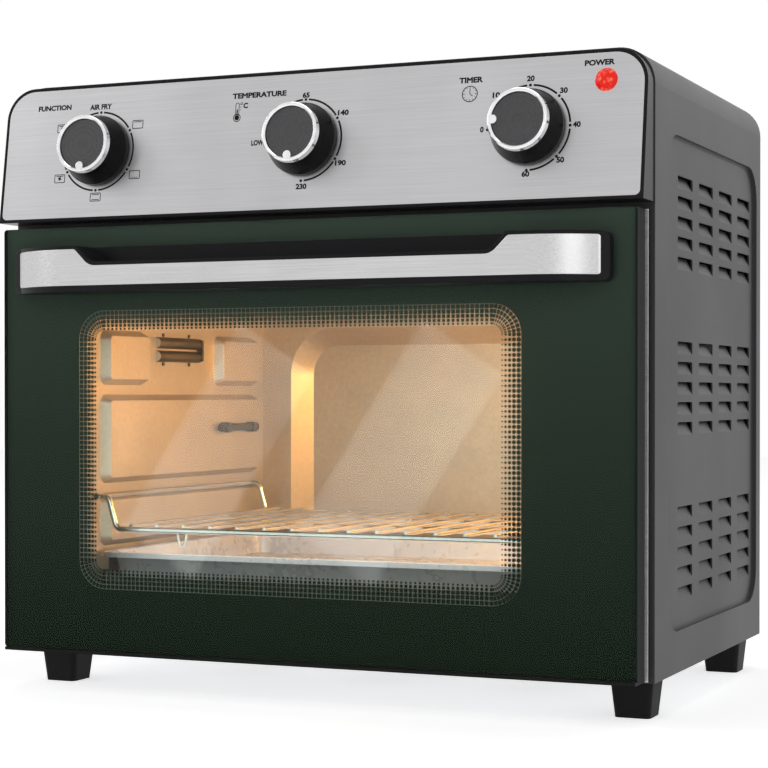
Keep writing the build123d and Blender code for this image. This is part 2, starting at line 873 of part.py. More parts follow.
def make_oven_lamp_holder():
    """The lamp's cup behind the cavity wall."""
    y = flange_y + oven_lamp_depth
    low = cavity_outer_x
    high = low + oven_lamp_holder_length
    cup = rod_x(low, high, y, oven_lamp_height, oven_lamp_cover_radius)
    inner = oven_lamp_cover_radius - oven_lamp_holder_wall
    return cup - rod_x(low - cut_margin, high - oven_lamp_holder_wall, y, oven_lamp_height, inner)


def make_oven_lamp_bulb():
    """The bulb and its cap."""
    y = flange_y + oven_lamp_depth
    seat = cavity_outer_x + oven_lamp_holder_length - oven_lamp_holder_wall
    glass_end = seat - bulb_cap_share * bulb_length
    cap = rod_x(glass_end, seat, y, oven_lamp_height, bulb_cap_radius)
    glass = rod_x(seat - bulb_length, glass_end, y, oven_lamp_height, bulb_radius)
    tip = glass.edges().filter_by(GeomType.CIRCLE).sort_by(Axis.X)[0]
    return fillet(tip, min(0.8 * bulb_radius, 0.5 * (1 - bulb_cap_share) * bulb_length)) + cap


def bezel_profile(inset):
    """The bezel's side-view outline, drawn in by inset but open at the back."""
    bottom = bezel_bottom + inset
    top = bezel_top - inset
    normal_shift = inset * slope_length / bezel_height
    lean = slope_run / bezel_height
    bottom_reach = bezel_bottom_reach - normal_shift - lean * inset
    top_reach = bezel_top_reach - normal_shift + lean * inset
    back = flange_y + (cut_margin if inset else 0)
    return Polygon(
        (back, bottom), (flange_y - bottom_reach, bottom),
        (flange_y - top_reach, top), (back, top), align=None,
    )


def fascia_outline(shrink):
    """The outline of the fascia plate on its own plane."""
    low = fascia_rim + shrink
    high = slope_length - fascia_rim - shrink
    half = bezel_half - fascia_rim - shrink
    outline = Pos(0, (low + high) / 2) * Rectangle(2 * half, high - low)
    outline = fillet(outline.vertices().group_by(Axis.Y)[-1], fascia_top_radius)
    return fillet(outline.vertices().group_by(Axis.Y)[0], fascia_bottom_radius)


def knob_places():
    """X places of the three knobs, by the control's name."""
    return {"function": -knob_pitch, "temperature": 0.0, "timer": knob_pitch}


def control_holes():
    """The holes for the three bushes and the lamp's stem, through the fascia and the bezel."""
    depth = panel_skin + 2 * cut_margin
    bush_hole = Pos(0, 0, -panel_skin / 2) * Cylinder(bush_radius + bush_clearance, depth)
    stem_hole = Pos(0, 0, -panel_skin / 2) * Cylinder(lamp_stem + lamp_clearance, depth)
    holes = [on_fascia(x, knob_rise, bush_hole) for x in knob_places().values()]
    return holes + [on_fascia(lamp_x, lamp_rise, stem_hole)]


def make_control_bezel():
    """The black moulded housing of the control panel, open at the back."""
    front = flange_y - 2 * bezel_bottom_reach
    outer = side_slab(bezel_profile(0), -bezel_half, bezel_half)
    outer = outer & front_slab(
        arch_outline(bezel_half, bezel_bottom, bezel_top, bezel_corner_radius), front, flange_y
    )
    inner_half = bezel_half - bezel_wall
    inner = side_slab(bezel_profile(bezel_wall), -inner_half, inner_half)
    inner = inner & front_slab(
        arch_outline(
            inner_half, bezel_bottom + bezel_wall, bezel_top - bezel_wall, bezel_corner_radius - bezel_wall
        ),
        front,
        flange_y + cut_margin,
    )
    bezel = outer - inner
    seat = extrude(Pos(0, 0, -fascia_thickness) * fascia_outline(0), amount=fascia_thickness + cut_margin)
    return bezel - fascia_plane * seat - control_holes()


def make_fascia_plate():
    """The brushed steel plate let into the bezel's front."""
    plate = extrude(Pos(0, 0, -fascia_thickness) * fascia_outline(0), amount=fascia_thickness)
    return fascia_plane * plate - control_holes()


def make_power_lamp_lens():
    """The domed red lens, seated on the fascia, with its stem through the panel."""
    sphere_radius = (lamp_radius**2 + lamp_dome**2) / (2 * lamp_dome)
    dome = Pos(0, 0, lamp_dome - sphere_radius) * Sphere(sphere_radius)
    keep = Pos(0, 0, lamp_dome / 2) * Cylinder(lamp_radius, lamp_dome)
    stem = Pos(0, 0, -panel_skin / 2) * Cylinder(lamp_stem, panel_skin)
    return on_fascia(lamp_x, lamp_rise, (dome & keep) + stem)


def make_power_lamp_holder():
    """The socket of the power lamp behind the bezel."""
    middle = -panel_skin - lamp_holder_depth / 2
    body = Pos(0, 0, middle) * Cylinder(lamp_holder_radius, lamp_holder_depth)
    return on_fascia(lamp_x, lamp_rise, body)


def seated_control(x, body):
    """A control body behind the bezel, with its bush and the bore for its shaft."""
    bush = Pos(0, 0, -panel_skin / 2) * Cylinder(bush_radius, panel_skin)
    bore_depth = shaft_bottom + shaft_end_gap
    bore = Pos(0, 0, -bore_depth / 2) * Cylinder(shaft_radius + shaft_clearance, bore_depth)
    return on_fascia(x, knob_rise, Pos(0, 0, -panel_skin) * body + bush - bore)


def make_function_switch():
    """The rotary function switch."""
    body = Pos(0, 0, -switch_depth / 2) * Box(switch_width, switch_height, switch_depth)
    body = chamfer(body.edges().filter_by(Axis.Z), switch_chamfer)
    return seated_control(knob_places()["function"], body)


def make_thermostat():
    """The capillary thermostat's round body."""
    body = Pos(0, 0, -thermostat_depth / 2) * Cylinder(thermostat_radius, thermostat_depth)
    return seated_control(knob_places()["temperature"], body)


def make_timer():
    """The clockwork timer's round case."""
    body = Pos(0, 0, -timer_depth / 2) * Cylinder(timer_radius, timer_depth)
    return seated_control(knob_places()["timer"], body)


def make_timer_bell():
    """The bell cup behind the timer."""
    start = panel_skin + timer_depth
    cup = Pos(0, 0, -start - bell_height / 2) * Cylinder(bell_radius, bell_height)
    hollow_height = bell_height - bell_wall
    hollow = Cylinder(bell_radius - bell_wall, hollow_height)
    hollow = Pos(0, 0, -start - bell_wall - hollow_height / 2) * hollow
    return on_fascia(knob_places()["timer"], knob_rise, cup - hollow)


def make_knob(x):
    """A tapered plastic knob, hollow under its roof, with a hub on the shaft."""
    skirt_top = knob_gap + knob_skirt_height
    roof = knob_shoulder - knob_roof
    knob = turned([
        (0, knob_gap), (knob_skirt_radius, knob_gap), (knob_skirt_radius, skirt_top),
        (knob_top_radius, knob_shoulder), (0, knob_shoulder),
    ])
    face_radius = ring_inner_radius - shaft_clearance
    knob = knob + Pos(0, 0, knob_shoulder + knob_face_rise / 2) * Cylinder(face_radius, knob_face_rise)
    inner_height = roof - knob_gap
    hollow = Pos(0, 0, knob_gap + inner_height / 2) * Cylinder(knob_top_radius - knob_wall, inner_height)
    hub = Pos(0, 0, knob_gap + inner_height / 2) * Cylinder(knob_hub_radius, inner_height)
    bore = Pos(0, 0, shaft_top / 2) * Cylinder(shaft_radius, shaft_top)
    return on_fascia(x, knob_rise, knob - hollow + hub - bore)


def make_knob_ring(x, pointer_angle):
    """The chrome ring with its round pointer. The angle runs clockwise from the top."""
    top = knob_shoulder + ring_height
    ring = turned([
        (ring_inner_radius, knob_shoulder), (knob_top_radius, knob_shoulder),
        (ring_outer_radius, top - ring_edge_round), (ring_outer_radius - ring_edge_round, top),
        (ring_inner_radius + ring_edge_round, top), (ring_inner_radius, top - ring_edge_round),
    ])
    distance = ring_inner_radius - pointer_radius / 2
    angle = math.radians(pointer_angle)
    seat = knob_shoulder + knob_face_rise
    pointer_height = top + pointer_rise - seat
    pointer = Cylinder(pointer_radius, pointer_height)
    pointer = Pos(distance * math.sin(angle), distance * math.cos(angle), seat + pointer_height / 2) * pointer
    return on_fascia(x, knob_rise, ring + pointer)


def make_knob_shaft(x):
    """The control's shaft, from inside its body to the knob."""
    length = shaft_bottom + shaft_top
    return on_fascia(x, knob_rise, Pos(0, 0, (shaft_top - shaft_bottom) / 2) * Cylinder(shaft_radius, length))


def window_outline(grow):
    """The front-view outline of the door frame's window, a little to the left of the middle."""
    width = window_left + window_right + 2 * grow
    middle = Pos(
        (window_right - window_left) / 2, door_bottom + window_bottom_rise + window_height / 2
    )
    return middle * RectangleRounded(width, window_height + 2 * grow, window_radius + grow)


def make_door_glass():
    """The tempered front pane, over the whole door above the bottom trim."""
    low = door_bottom + bottom_trim_height
    outline = Pos(0, (low + door_top) / 2) * RectangleRounded(door_width, door_top - low, glass_corner_radius)
    pane = front_slab(outline, door_front_y, glass_back_y)
    for side in (-1, 1):
        hole = handle_screw_radius + bush_clearance
        x = side * handle_screw_x
        pane = pane - rod_y(door_front_y - cut_margin, glass_back_y + cut_margin, x, handle_mid_z, hole)
    return pane


def make_door_frame():
    """The pressed steel inner door: a back plate, its top and bottom returns and the window tunnel."""
    half = door_half + door_back_overhang
    plate_front = door_back_y - sheet_wall
    plate = box(-half, half, plate_front, door_back_y, door_bottom, door_top)
    return_half = door_half - side_rail_width
    for low, high in ((door_bottom, door_bottom + sheet_wall), (door_top - sheet_wall, door_top)):
        plate = plate + box(-return_half, return_half, glass_back_y, plate_front, low, high)
    tunnel = front_slab(window_outline(tunnel_wall), glass_back_y, plate_front)
    plate = plate + tunnel
    plate = plate - front_slab(window_outline(0), door_front_y, door_back_y + cut_margin)
    ear_low, ear_high = ear_span()
    clear = ear_radius + ear_slot_clearance
    tab_high = ear_low - inner_tab_gap
    for side in (-1, 1):
        slot_span = sorted((side * (ear_low - ear_slot_clearance), side * (ear_high + ear_slot_clearance)))
        tab_span = sorted((side * tab_high, side * (tab_high - sheet_wall)))
        tab = box(*tab_span, hinge_y - clear, plate_front, door_bottom, hinge_z + clear)
        plate = plate + tab
        plate = plate - box(*slot_span, hinge_y - clear, flange_y, door_bottom - cut_margin, hinge_z + clear)
        pin_span = (tab_span[0] - cut_margin, tab_span[1] + cut_margin)
        plate = plate - rod_x(*pin_span, hinge_y, hinge_z, hinge_pin_radius)
    return plate


def make_side_rail(side):
    """A painted side strip of the door, between the back plate and the pane."""
    span = sorted((side * door_half, side * (door_half - side_rail_width)))
    rail = box(*span, glass_back_y, door_back_y - sheet_wall, door_bottom, door_top)
    hole_span = sorted((side * (door_half - hinge_pin_inset), side * (door_half - 2 * side_rail_width)))
    return rail - rod_x(*hole_span, hinge_y, hinge_z, hinge_pin_radius)


def make_bottom_trim():
    """The thin strip under the pane."""
    low = door_bottom
    return box(-door_half, door_half, door_front_y, glass_back_y, low, low + bottom_trim_height)


def make_hinge_pins():
    """The two short pins the door turns on."""
    pins = []
    ear_low = ear_span()[0]
    inner = ear_low - inner_tab_gap - sheet_wall
    for side in (-1, 1):
        span = sorted((side * inner, side * (door_half - hinge_pin_inset)))
        pins.append(rod_x(*span, hinge_y, hinge_z, hinge_pin_radius))
    return pins


def handle_outline(inset):
    """The handle's plan outline: flat in the middle, bending back to the door at both ends."""
    front = door_front_y - handle_reach + inset
    radius = handle_bend_radius - inset
    bend_x = handle_bend_end - inset - handle_flat_half
    end_turn = math.asin(bend_x / radius)
    mid_turn = end_turn / 2
    bend = []
    for turn in (0, mid_turn, end_turn):
        bend.append((handle_flat_half + radius * math.sin(turn), front + radius * (1 - math.cos(turn))))
    root = (handle_half_length - inset, door_front_y)
    shoulder = (handle_half_length - inset, door_front_y - handle_root_reach + inset)
    right = [bend[0], bend[1], bend[2]]
    left = [(-x, y) for x, y in right]
    edges = Curve() + [
        Line(left[0], right[0]),
        ThreePointArc(right[0], right[1], right[2]),
        Line(right[2], shoulder),
        Line(shoulder, root),
        Line(root, (-root[0], root[1])),
        Line((-root[0], root[1]), (-shoulder[0], shoulder[1])),
        Line((-shoulder[0], shoulder[1]), left[2]),
        ThreePointArc(left[2], left[1], left[0]),
    ]
    return make_face(edges)


def trim_front_outline():
    """The steel inlay's front-view outline: full height at the ends, a narrow band between."""
    bottom = handle_bottom + trim_rise
    top = bottom + trim_height
    narrow = bottom + trim_narrow_height
    wide_start = trim_narrow_half + trim_slope
    outline = Polygon(
        (-trim_half_length, bottom), (trim_half_length, bottom), (trim_half_length, top),
        (wide_start, top), (trim_narrow_half, narrow), (-trim_narrow_half, narrow),
        (-wide_start, top), (-trim_half_length, top), align=None,
    )
    bends = {trim_narrow_half: trim_inner_bend, wide_start: trim_outer_bend, trim_half_length: trim_corner}
    for reach, radius in bends.items():
        outline = fillet([v for v in outline.vertices() if abs(abs(v.X) - reach) < 0.01], radius)
    return outline


def make_handle_trim():
    """The steel inlay that wraps the handle's front."""
    skin = flat_slab(handle_outline(0), handle_bottom, handle_top)
    core = flat_slab(handle_outline(trim_thickness), handle_bottom - cut_margin, handle_top + cut_margin)
    skin = skin - core
    front = door_front_y - handle_reach
    return skin & front_slab(trim_front_outline(), front - cut_margin, door_front_y - handle_root_reach)


def make_door_handle():
    """The black moulded handle with its finger pocket, open at the top."""
    front = door_front_y - handle_reach
    face = Pos(0, handle_bottom + handle_height / 2) * RectangleRounded(
        2 * handle_half_length, handle_height, handle_end_corner
    )
    body = flat_slab(handle_outline(0), handle_bottom, handle_top) & front_slab(face, front, door_front_y)
    lip = handle_top - pocket_lip_drop
    gate = Polygon(
        (-pocket_half_length, lip), (pocket_half_length, lip),
        (pocket_half_length + pocket_slope, handle_top + cut_margin),
        (-pocket_half_length - pocket_slope, handle_top + cut_margin), align=None,
    )
    gate = fillet(gate.vertices().group_by(Axis.Y)[0], pocket_corner)
    body = body - front_slab(gate, front - cut_margin, door_front_y - handle_back_wall)
    pocket = box(
        -pocket_half_length, pocket_half_length,
        front + handle_band_thickness, door_front_y - handle_back_wall,
        handle_bottom + handle_floor, handle_top + cut_margin,
    )
    body = body - pocket - make_handle_trim()
    for side in (-1, 1):
        x = side * handle_screw_x
        thread_low = door_front_y - handle_screw_depth
        body = body - rod_y(thread_low, door_front_y, x, handle_mid_z, handle_screw_radius)
    return body


def make_handle_screws():
    """The two screws that hold the handle through the pane."""
    screws = []
    for side in (-1, 1):
        x = side * handle_screw_x
        head_back = glass_back_y + handle_screw_head_height
        head = rod_y(glass_back_y, head_back, x, handle_mid_z, handle_screw_head_radius)
        shank = rod_y(door_front_y - handle_screw_depth, glass_back_y, x, handle_mid_z, handle_screw_radius)
        screws.append(head + shank)
    return screws


def rack_rod_height():
    """The height at which a side rod rests on the sloping edge of the rack pad."""
    lean = math.radians(pad_slope)
    seat = rack_pad_top - rack_side_inset * math.tan(lean)
    return seat + (rack_rod_radius + slide_gap) / math.cos(lean)


def make_wire_rack():
    """The wire rack: a hanging frame of thick rod with thinner wires along it."""
    side_x = cavity_half_width - rack_side_inset
    high = rack_rod_height()
    low = high - rack_drop
    front = flange_y + rack_front
    back = front + rack_length
    bend_x = side_x - rack_bend_start
    deck_x = bend_x - rack_bend_width
    points = [(-side_x, high), (-bend_x, high), (-deck_x, low), (deck_x, low), (bend_x, high), (side_x, high)]
    path_2d = FilletPolyline(*points, radius=rack_bend_radius)
    rack = Part()
    for y in (front, back):
        plane = Plane(origin=(0, y, 0), x_dir=(1, 0, 0), z_dir=(0, -1, 0))
        path = plane * path_2d
        start = Plane(origin=(-side_x, y, high), z_dir=(1, 0, 0))
        rack = rack + sweep(start * Circle(rack_rod_radius), path=path)
    for side in (-1, 1):
        ends = (front - rack_rod_overlap, back + rack_rod_overlap)
        rack = rack + rod_y(*ends, side * side_x, high, rack_rod_radius)
    wire_z = low + rack_rod_radius + rack_wire_radius / 3
    last_x = deck_x - rack_wire_margin
    wire_pitch = 2 * last_x / (rack_wires - 1)
    for wire in range(rack_wires):
        rack = rack + rod_y(front, back, wire * wire_pitch - last_x, wire_z, rack_wire_radius)
    for share in (1 / 3, 2 / 3):
        y = front + share * rack_length
        rack = rack + rod_x(-deck_x, deck_x, y, low, rack_rod_radius)
    return rack


def make_baking_tray():
    """The shallow tray that hangs by its rim on the lowest ledges."""
    rim_half = cavity_half_width - tray_rim_inset
    rim_low = tray_ledge_top + slide_gap
    rim_high = rim_low + tray_rim_thickness
    middle = Pos(0, flange_y + tray_front + tray_length / 2)
    body_width = 2 * (rim_half - tray_rim_width)
    body_length = tray_length - 2 * tray_rim_width
    rim = flat_slab(middle * RectangleRounded(2 * rim_half, tray_length, tray_radius), rim_low, rim_high)
    bottom = rim_high - tray_depth
    outer = loft([
        Pos(0, 0, bottom) * middle * RectangleRounded(
            body_width - 2 * tray_draft, body_length - 2 * tray_draft, tray_radius - tray_draft
        ),
        Pos(0, 0, rim_high) * middle * RectangleRounded(body_width, body_length, tray_radius),
    ])
    inner = loft([
        Pos(0, 0, bottom + tray_wall) * middle * RectangleRounded(
            body_width - 2 * tray_draft - 2 * tray_wall,
            body_length - 2 * tray_draft - 2 * tray_wall,
            tray_radius - tray_draft - tray_wall,
        ),
        Pos(0, 0, rim_high) * middle * RectangleRounded(
            body_width - 2 * tray_wall, body_length - 2 * tray_wall, tray_radius - tray_wall
        ),
    ])
    return rim + outer - inner


def make_terminal_block():
    """The mains terminal block on the base pan, by the cord inlet."""
    low = body_bottom + sheet_wall
    back = panel_front_y - gland_inner_length - terminal_gap
    block = box(
        gland_x - terminal_length / 2, gland_x + terminal_length / 2,
        back - terminal_width, back, low, low + terminal_height,
    )
    for step in (-1, 0, 1):
        x = gland_x + step * terminal_length / 3
        hole_low = low + terminal_height - terminal_hole_depth
        hole_high = low + terminal_height + cut_margin
        block = block - rod_z(hole_low, hole_high, x, back - terminal_width / 2, terminal_hole_radius)
    return block


def all_pieces():
    """Every node's solids, by the node's name."""
    pieces = {
        "outer_wrap": make_outer_wrap(),
        "base_pan": make_base_pan(),
        "back_panel": make_back_panel(),
        "back_screws": make_back_screws(),
        "cord_gland": make_cord_gland(),
        "terminal_block": make_terminal_block(),
        "front_frame": make_front_frame(),
        "hinge_brackets": make_hinge_brackets(),
        "foot_screws": make_foot_screws(),
        "thermostat_sensor": make_thermostat_sensor(),
        "cavity_left_wall": make_cavity_side(-1),
        "cavity_right_wall": make_cavity_side(1),
        "cavity_floor": make_cavity_floor(),
        "cavity_ceiling": make_cavity_ceiling(),
        "cavity_back_wall": make_cavity_back(),
        "upper_heaters": make_heaters(heater_places()[:2]),
        "lower_heaters": make_heaters(heater_places()[2:]),
        "heater_insulators": make_heater_insulators(),
        "fan_housing": make_fan_housing(),
        "fan_guard": make_fan_guard(),
        "heat_shield": make_heat_shield(),
        "fan_motor": make_fan_motor(),
        "convection_fan": make_fan(),
        "fan_shaft": make_fan_shaft(),
        "cavity_lamp_cover": make_oven_lamp_cover(),
        "cavity_lamp_holder": make_oven_lamp_holder(),
        "cavity_lamp_bulb": make_oven_lamp_bulb(),
        "control_bezel": make_control_bezel(),
        "fascia_plate": make_fascia_plate(),
        "power_lamp_lens": make_power_lamp_lens(),
        "power_lamp_holder": make_power_lamp_holder(),
        "function_switch": make_function_switch(),
        "thermostat": make_thermostat(),
        "timer": make_timer(),
        "timer_bell": make_timer_bell(),
        "door_glass": make_door_glass(),
        "door_frame": make_door_frame(),
        "door_rail_left": make_side_rail(-1),
        "door_rail_right": make_side_rail(1),
        "door_bottom_trim": make_bottom_trim(),
        "hinge_pins": make_hinge_pins(),
        "door_handle": make_door_handle(),
        "handle_trim": make_handle_trim(),
        "handle_screws": make_handle_screws(),
        "wire_rack": make_wire_rack(),
        "baking_tray": make_baking_tray(),
    }
    for name, (x, y) in foot_places().items():
        pieces[name] = make_foot(x, y)
    for name, x in knob_places().items():
        pieces[f"{name}_knob"] = make_knob(x)
        pieces[f"{name}_knob_ring"] = make_knob_ring(x, pointer_angles[name])
        pieces[f"{name}_shaft"] = make_knob_shaft(x)
    return pieces


os.makedirs("parts", exist_ok=True)
for name, made in all_pieces().items():
    solids = made if isinstance(made, list) else list(made.solids())
    node = solids[0] if len(solids) == 1 else Compound(children=solids)
    node.label = name
    export_step(node, f"parts/{name}.step")
    print(name, len(solids), "solids")
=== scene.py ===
import json
import math
import bmesh
import bpy
from mathutils import Matrix, Vector


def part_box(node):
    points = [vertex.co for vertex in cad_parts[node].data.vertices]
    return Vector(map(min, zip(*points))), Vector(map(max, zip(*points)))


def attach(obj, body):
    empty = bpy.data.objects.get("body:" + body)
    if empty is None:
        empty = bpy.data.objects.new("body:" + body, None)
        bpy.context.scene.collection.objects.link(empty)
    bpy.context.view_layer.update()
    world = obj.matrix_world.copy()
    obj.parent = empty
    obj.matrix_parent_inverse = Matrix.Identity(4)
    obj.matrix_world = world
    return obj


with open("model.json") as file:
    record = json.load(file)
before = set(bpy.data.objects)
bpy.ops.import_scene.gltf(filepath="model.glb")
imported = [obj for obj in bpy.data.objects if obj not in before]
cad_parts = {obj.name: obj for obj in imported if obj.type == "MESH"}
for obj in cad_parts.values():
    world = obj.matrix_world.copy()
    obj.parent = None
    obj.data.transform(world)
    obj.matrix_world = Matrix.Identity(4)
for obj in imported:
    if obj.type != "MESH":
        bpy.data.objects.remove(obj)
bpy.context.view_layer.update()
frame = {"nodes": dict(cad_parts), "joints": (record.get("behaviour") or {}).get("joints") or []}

nodes = frame["nodes"]
joints = {joint["name"]: joint for joint in frame["joints"]}
mm = 0.001
print("frame in:", len(nodes), "nodes")


# node helpers
def addNode(tree, kind, inputs=None, **settings):
    node = tree.nodes.new(kind)
    for key, value in settings.items():
        setattr(node, key, value)
    for key, value in (inputs or {}).items():
        if isinstance(value, bpy.types.NodeSocket):
            tree.links.new(value, node.inputs[key])
        else:
            node.inputs[key].default_value = value
    return node


def newMaterial(name):
    material = bpy.data.materials.new(name)
    material.use_nodes = True
    tree = material.node_tree
    return material, tree, tree.nodes["Principled BSDF"]


def noiseField(tree, scale, stretch=(1, 1, 1), detail=3.0, roughness=0.5, distortion=0.0):
    # noise laid out on the piece itself, in metres
    place = addNode(tree, "ShaderNodeTexCoord").outputs["Object"]
    mapped = addNode(tree, "ShaderNodeMapping", {"Vector": place, "Scale": stretch})
    noise = addNode(tree, "ShaderNodeTexNoise", {
        "Vector": mapped.outputs[0], "Scale": scale, "Detail": detail,
        "Roughness": roughness, "Distortion": distortion,
    })
    return noise.outputs["Fac"]


def ramp(tree, source, stops):
    node = addNode(tree, "ShaderNodeValToRGB", {"Fac": source})
    elements = node.color_ramp.elements
    while len(elements) < len(stops):
        elements.new(0.5)
    for element, (position, color) in zip(elements, stops):
        element.position = position
        element.color = (*color, 1.0) if len(color) == 3 else (color[0], color[0], color[0], 1.0)
    return node.outputs["Color"]


def remap(tree, source, low, high, fromLow=0.3, fromHigh=0.7):
    node = addNode(tree, "ShaderNodeMapRange", {
        "Value": source, "From Min": fromLow, "From Max": fromHigh, "To Min": low, "To Max": high,
    })
    return node.outputs["Result"]


def mixColors(tree, factor, a, b, blend="MIX"):
    node = addNode(tree, "ShaderNodeMix", data_type="RGBA", blend_type=blend)
    for index, value in ((0, factor), (6, a), (7, b)):
        if isinstance(value, bpy.types.NodeSocket):
            tree.links.new(value, node.inputs[index])
        else:
            node.inputs[index].default_value = value if index == 0 else (*value[:3], 1.0)
    return node.outputs[2]


def mixShaders(tree, factor, a, b):
    return addNode(tree, "ShaderNodeMixShader", {0: factor, 1: a.outputs[0], 2: b.outputs[0]})


def finishSurface(tree, shader, output="Material Output"):
    tree.links.new(shader.outputs[0], tree.nodes[output].inputs["Surface"])


def greyColor(tree, value):
    return addNode(tree, "ShaderNodeCombineColor", {"Red": value, "Green": value, "Blue": value}).outputs[0]


def makeFinish(name, look):
    # one finish: two-tone colour, uneven gloss, fine surface relief and softened edges
    material, tree, shader = newMaterial(name)
    stretch = look.get("stretch", (1, 1, 1))
    grain = noiseField(tree, look["grain"], stretch, look.get("detail", 4.0))
    blotch = noiseField(tree, look.get("blotch", 14.0), look.get("blotchStretch", (1, 1, 1)), 3.0)
    fine = ramp(tree, grain, [(0.3, look["dark"]), (0.7, look["light"])])
    shade = remap(tree, blotch, 1.0 - look.get("cloud", 0.06), 1.0 + look.get("cloud", 0.06))
    tone = mixColors(tree, 1.0, fine, greyColor(tree, shade), "MULTIPLY")
    tree.links.new(tone, shader.inputs["Base Color"])
    smear = addNode(tree, "ShaderNodeMath", {0: grain, 1: blotch}, operation="MULTIPLY")
    rough = remap(tree, smear.outputs[0], *look["rough"], 0.12, 0.4)  # the usual span of this product
    tree.links.new(rough, shader.inputs["Roughness"])
    shader.inputs["Metallic"].default_value = look.get("metal", 0.0)
    for socket in ("IOR", "Coat Weight", "Coat Roughness", "Specular IOR Level", "Sheen Weight"):
        if socket in look:
            shader.inputs[socket].default_value = look[socket]
    soft = addNode(tree, "ShaderNodeBevel", {"Radius": look.get("edge", 0.4) * mm}, samples=4)
    relief = addNode(tree, "ShaderNodeBump", {
        "Height": grain, "Normal": soft.outputs[0],
        "Strength": look.get("bump", 0.15), "Distance": look.get("relief", 0.05) * mm,
    })
    tree.links.new(relief.outputs[0], shader.inputs["Normal"])
    return material


def dress(material, *names):
    for name in names:
        for slot in nodes[name].material_slots:
            slot.material = material


# mesh helpers
def circlePoints(radius, count, centre=(0, 0), start=0.0, end=2 * math.pi):
    closed = abs(end - start) > 6.28
    steps = count if closed else count - 1
    angles = [start + (end - start) * i / steps for i in range(count)]
    return [(centre[0] + radius * math.sin(a), centre[1] + radius * math.cos(a)) for a in angles]


def addPrism(mesh, points, place, low, high):
    # a flat closed outline made solid along the local Z of place
    layers = []
    for level in (low, high):
        layers.append([mesh.verts.new(place @ Vector((x, y, level))) for x, y in points])
    count = len(points)
    mesh.faces.new(layers[0][::-1])
    mesh.faces.new(layers[1])
    for i in range(count):
        j = (i + 1) % count
        mesh.faces.new((layers[0][i], layers[0][j], layers[1][j], layers[1][i]))


def addBand(mesh, outer, inner, place, low, high, closed=True):
    # a flat strip between two outlines of as many points
    rings = []
    for points, level in ((outer, low), (inner, low), (inner, high), (outer, high)):
        rings.append([mesh.verts.new(place @ Vector((x, y, level))) for x, y in points])
    count = len(outer)
    for i in range(count if closed else count - 1):
        j = (i + 1) % count
        for k in range(4):
            a, b = rings[k], rings[(k + 1) % 4]
            mesh.faces.new((a[i], a[j], b[j], b[i]))
    if not closed:
        for i in (0, count - 1):
            mesh.faces.new([ring[i] for ring in rings])


def addBar(mesh, start, end, width, place, low, high):
    a, b = Vector(start), Vector(end)
    side = (b - a).normalized().orthogonal() * width / 2
    addPrism(mesh, [tuple(a + side), tuple(b + side), tuple(b - side), tuple(a - side)], place, low, high)


def finishPiece(name, mesh, material, body, smooth=False):
    bmesh.ops.remove_doubles(mesh, verts=mesh.verts, dist=1e-7)
    bmesh.ops.recalc_face_normals(mesh, faces=mesh.faces)
    data = bpy.data.meshes.new(name)
    mesh.to_mesh(data)
    mesh.free()
    if smooth:
        data.shade_smooth()
        data.set_sharp_from_angle(angle=math.radians(40))
    piece = bpy.data.objects.new(name, data)
    bpy.context.scene.collection.objects.link(piece)
    data.materials.append(material)
    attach(piece, body)
    return piece


# the bevel thickens the strokes
wordShape = {"extrude": 0.3, "bevel_depth": 0.048, "bevel_resolution": 0, "resolution_u": 4}


def addWord(mesh, text, centre, width, height, place, low, high):
    # a printed word, fitted to its measured width and height
    curve = bpy.data.curves.new("word", "FONT")
    curve.body = text
    for setting, value in wordShape.items():
        setattr(curve, setting, value)
    holder = bpy.data.objects.new("word", curve)
    bpy.context.scene.collection.objects.link(holder)
    bpy.context.view_layer.update()
    data = bpy.data.meshes.new_from_object(holder.evaluated_get(bpy.context.evaluated_depsgraph_get()))
    bpy.data.objects.remove(holder)
    xs = [v.co.x for v in data.vertices]
    ys = [v.co.y for v in data.vertices]
    middle = Vector(((min(xs) + max(xs)) / 2, (min(ys) + max(ys)) / 2, 0))
    fit = Matrix.Diagonal((width / (max(xs) - min(xs)), height / (max(ys) - min(ys)), high - low, 1))
    shift = Matrix.Translation((centre[0], centre[1], (low + high) / 2))
    data.transform(place @ shift @ fit @ Matrix.Translation(-middle))
    mesh.from_mesh(data)
    bpy.data.meshes.remove(data)


# painted steel cover
coverLook = {
    "dark": (0.056, 0.053, 0.057), "light": (0.07, 0.066, 0.071), "grain": 2600.0, "rough": (0.4, 0.52),
    "blotch": 9.0, "cloud": 0.05, "bump": 0.2, "relief": 0.05, "edge": 0.9, "Specular IOR Level": 0.25,
}
dress(makeFinish("coverPaint", coverLook), "outer_wrap", "back_panel")

innerPlateLook = {
    "dark": (0.03, 0.03, 0.031), "light": (0.042, 0.042, 0.044), "grain": 1900.0, "rough": (0.4, 0.55),
    "bump": 0.15, "edge": 0.5, "Specular IOR Level": 0.3,
}
dress(makeFinish("blackPlate", innerPlateLook), "front_frame")

zincLook = {
    "dark": (0.42, 0.43, 0.44), "light": (0.6, 0.61, 0.62), "grain": 120.0, "rough": (0.3, 0.5),
    "metal": 1.0, "blotch": 45.0, "cloud": 0.14, "bump": 0.05, "edge": 0.4,
}
zincFinish = makeFinish("zincSheet", zincLook)
dress(zincFinish, "base_pan", "fan_housing", "heat_shield", "fan_motor", "convection_fan")
dress(zincFinish, "cavity_lamp_holder", "thermostat", "timer")
print("cover painted")

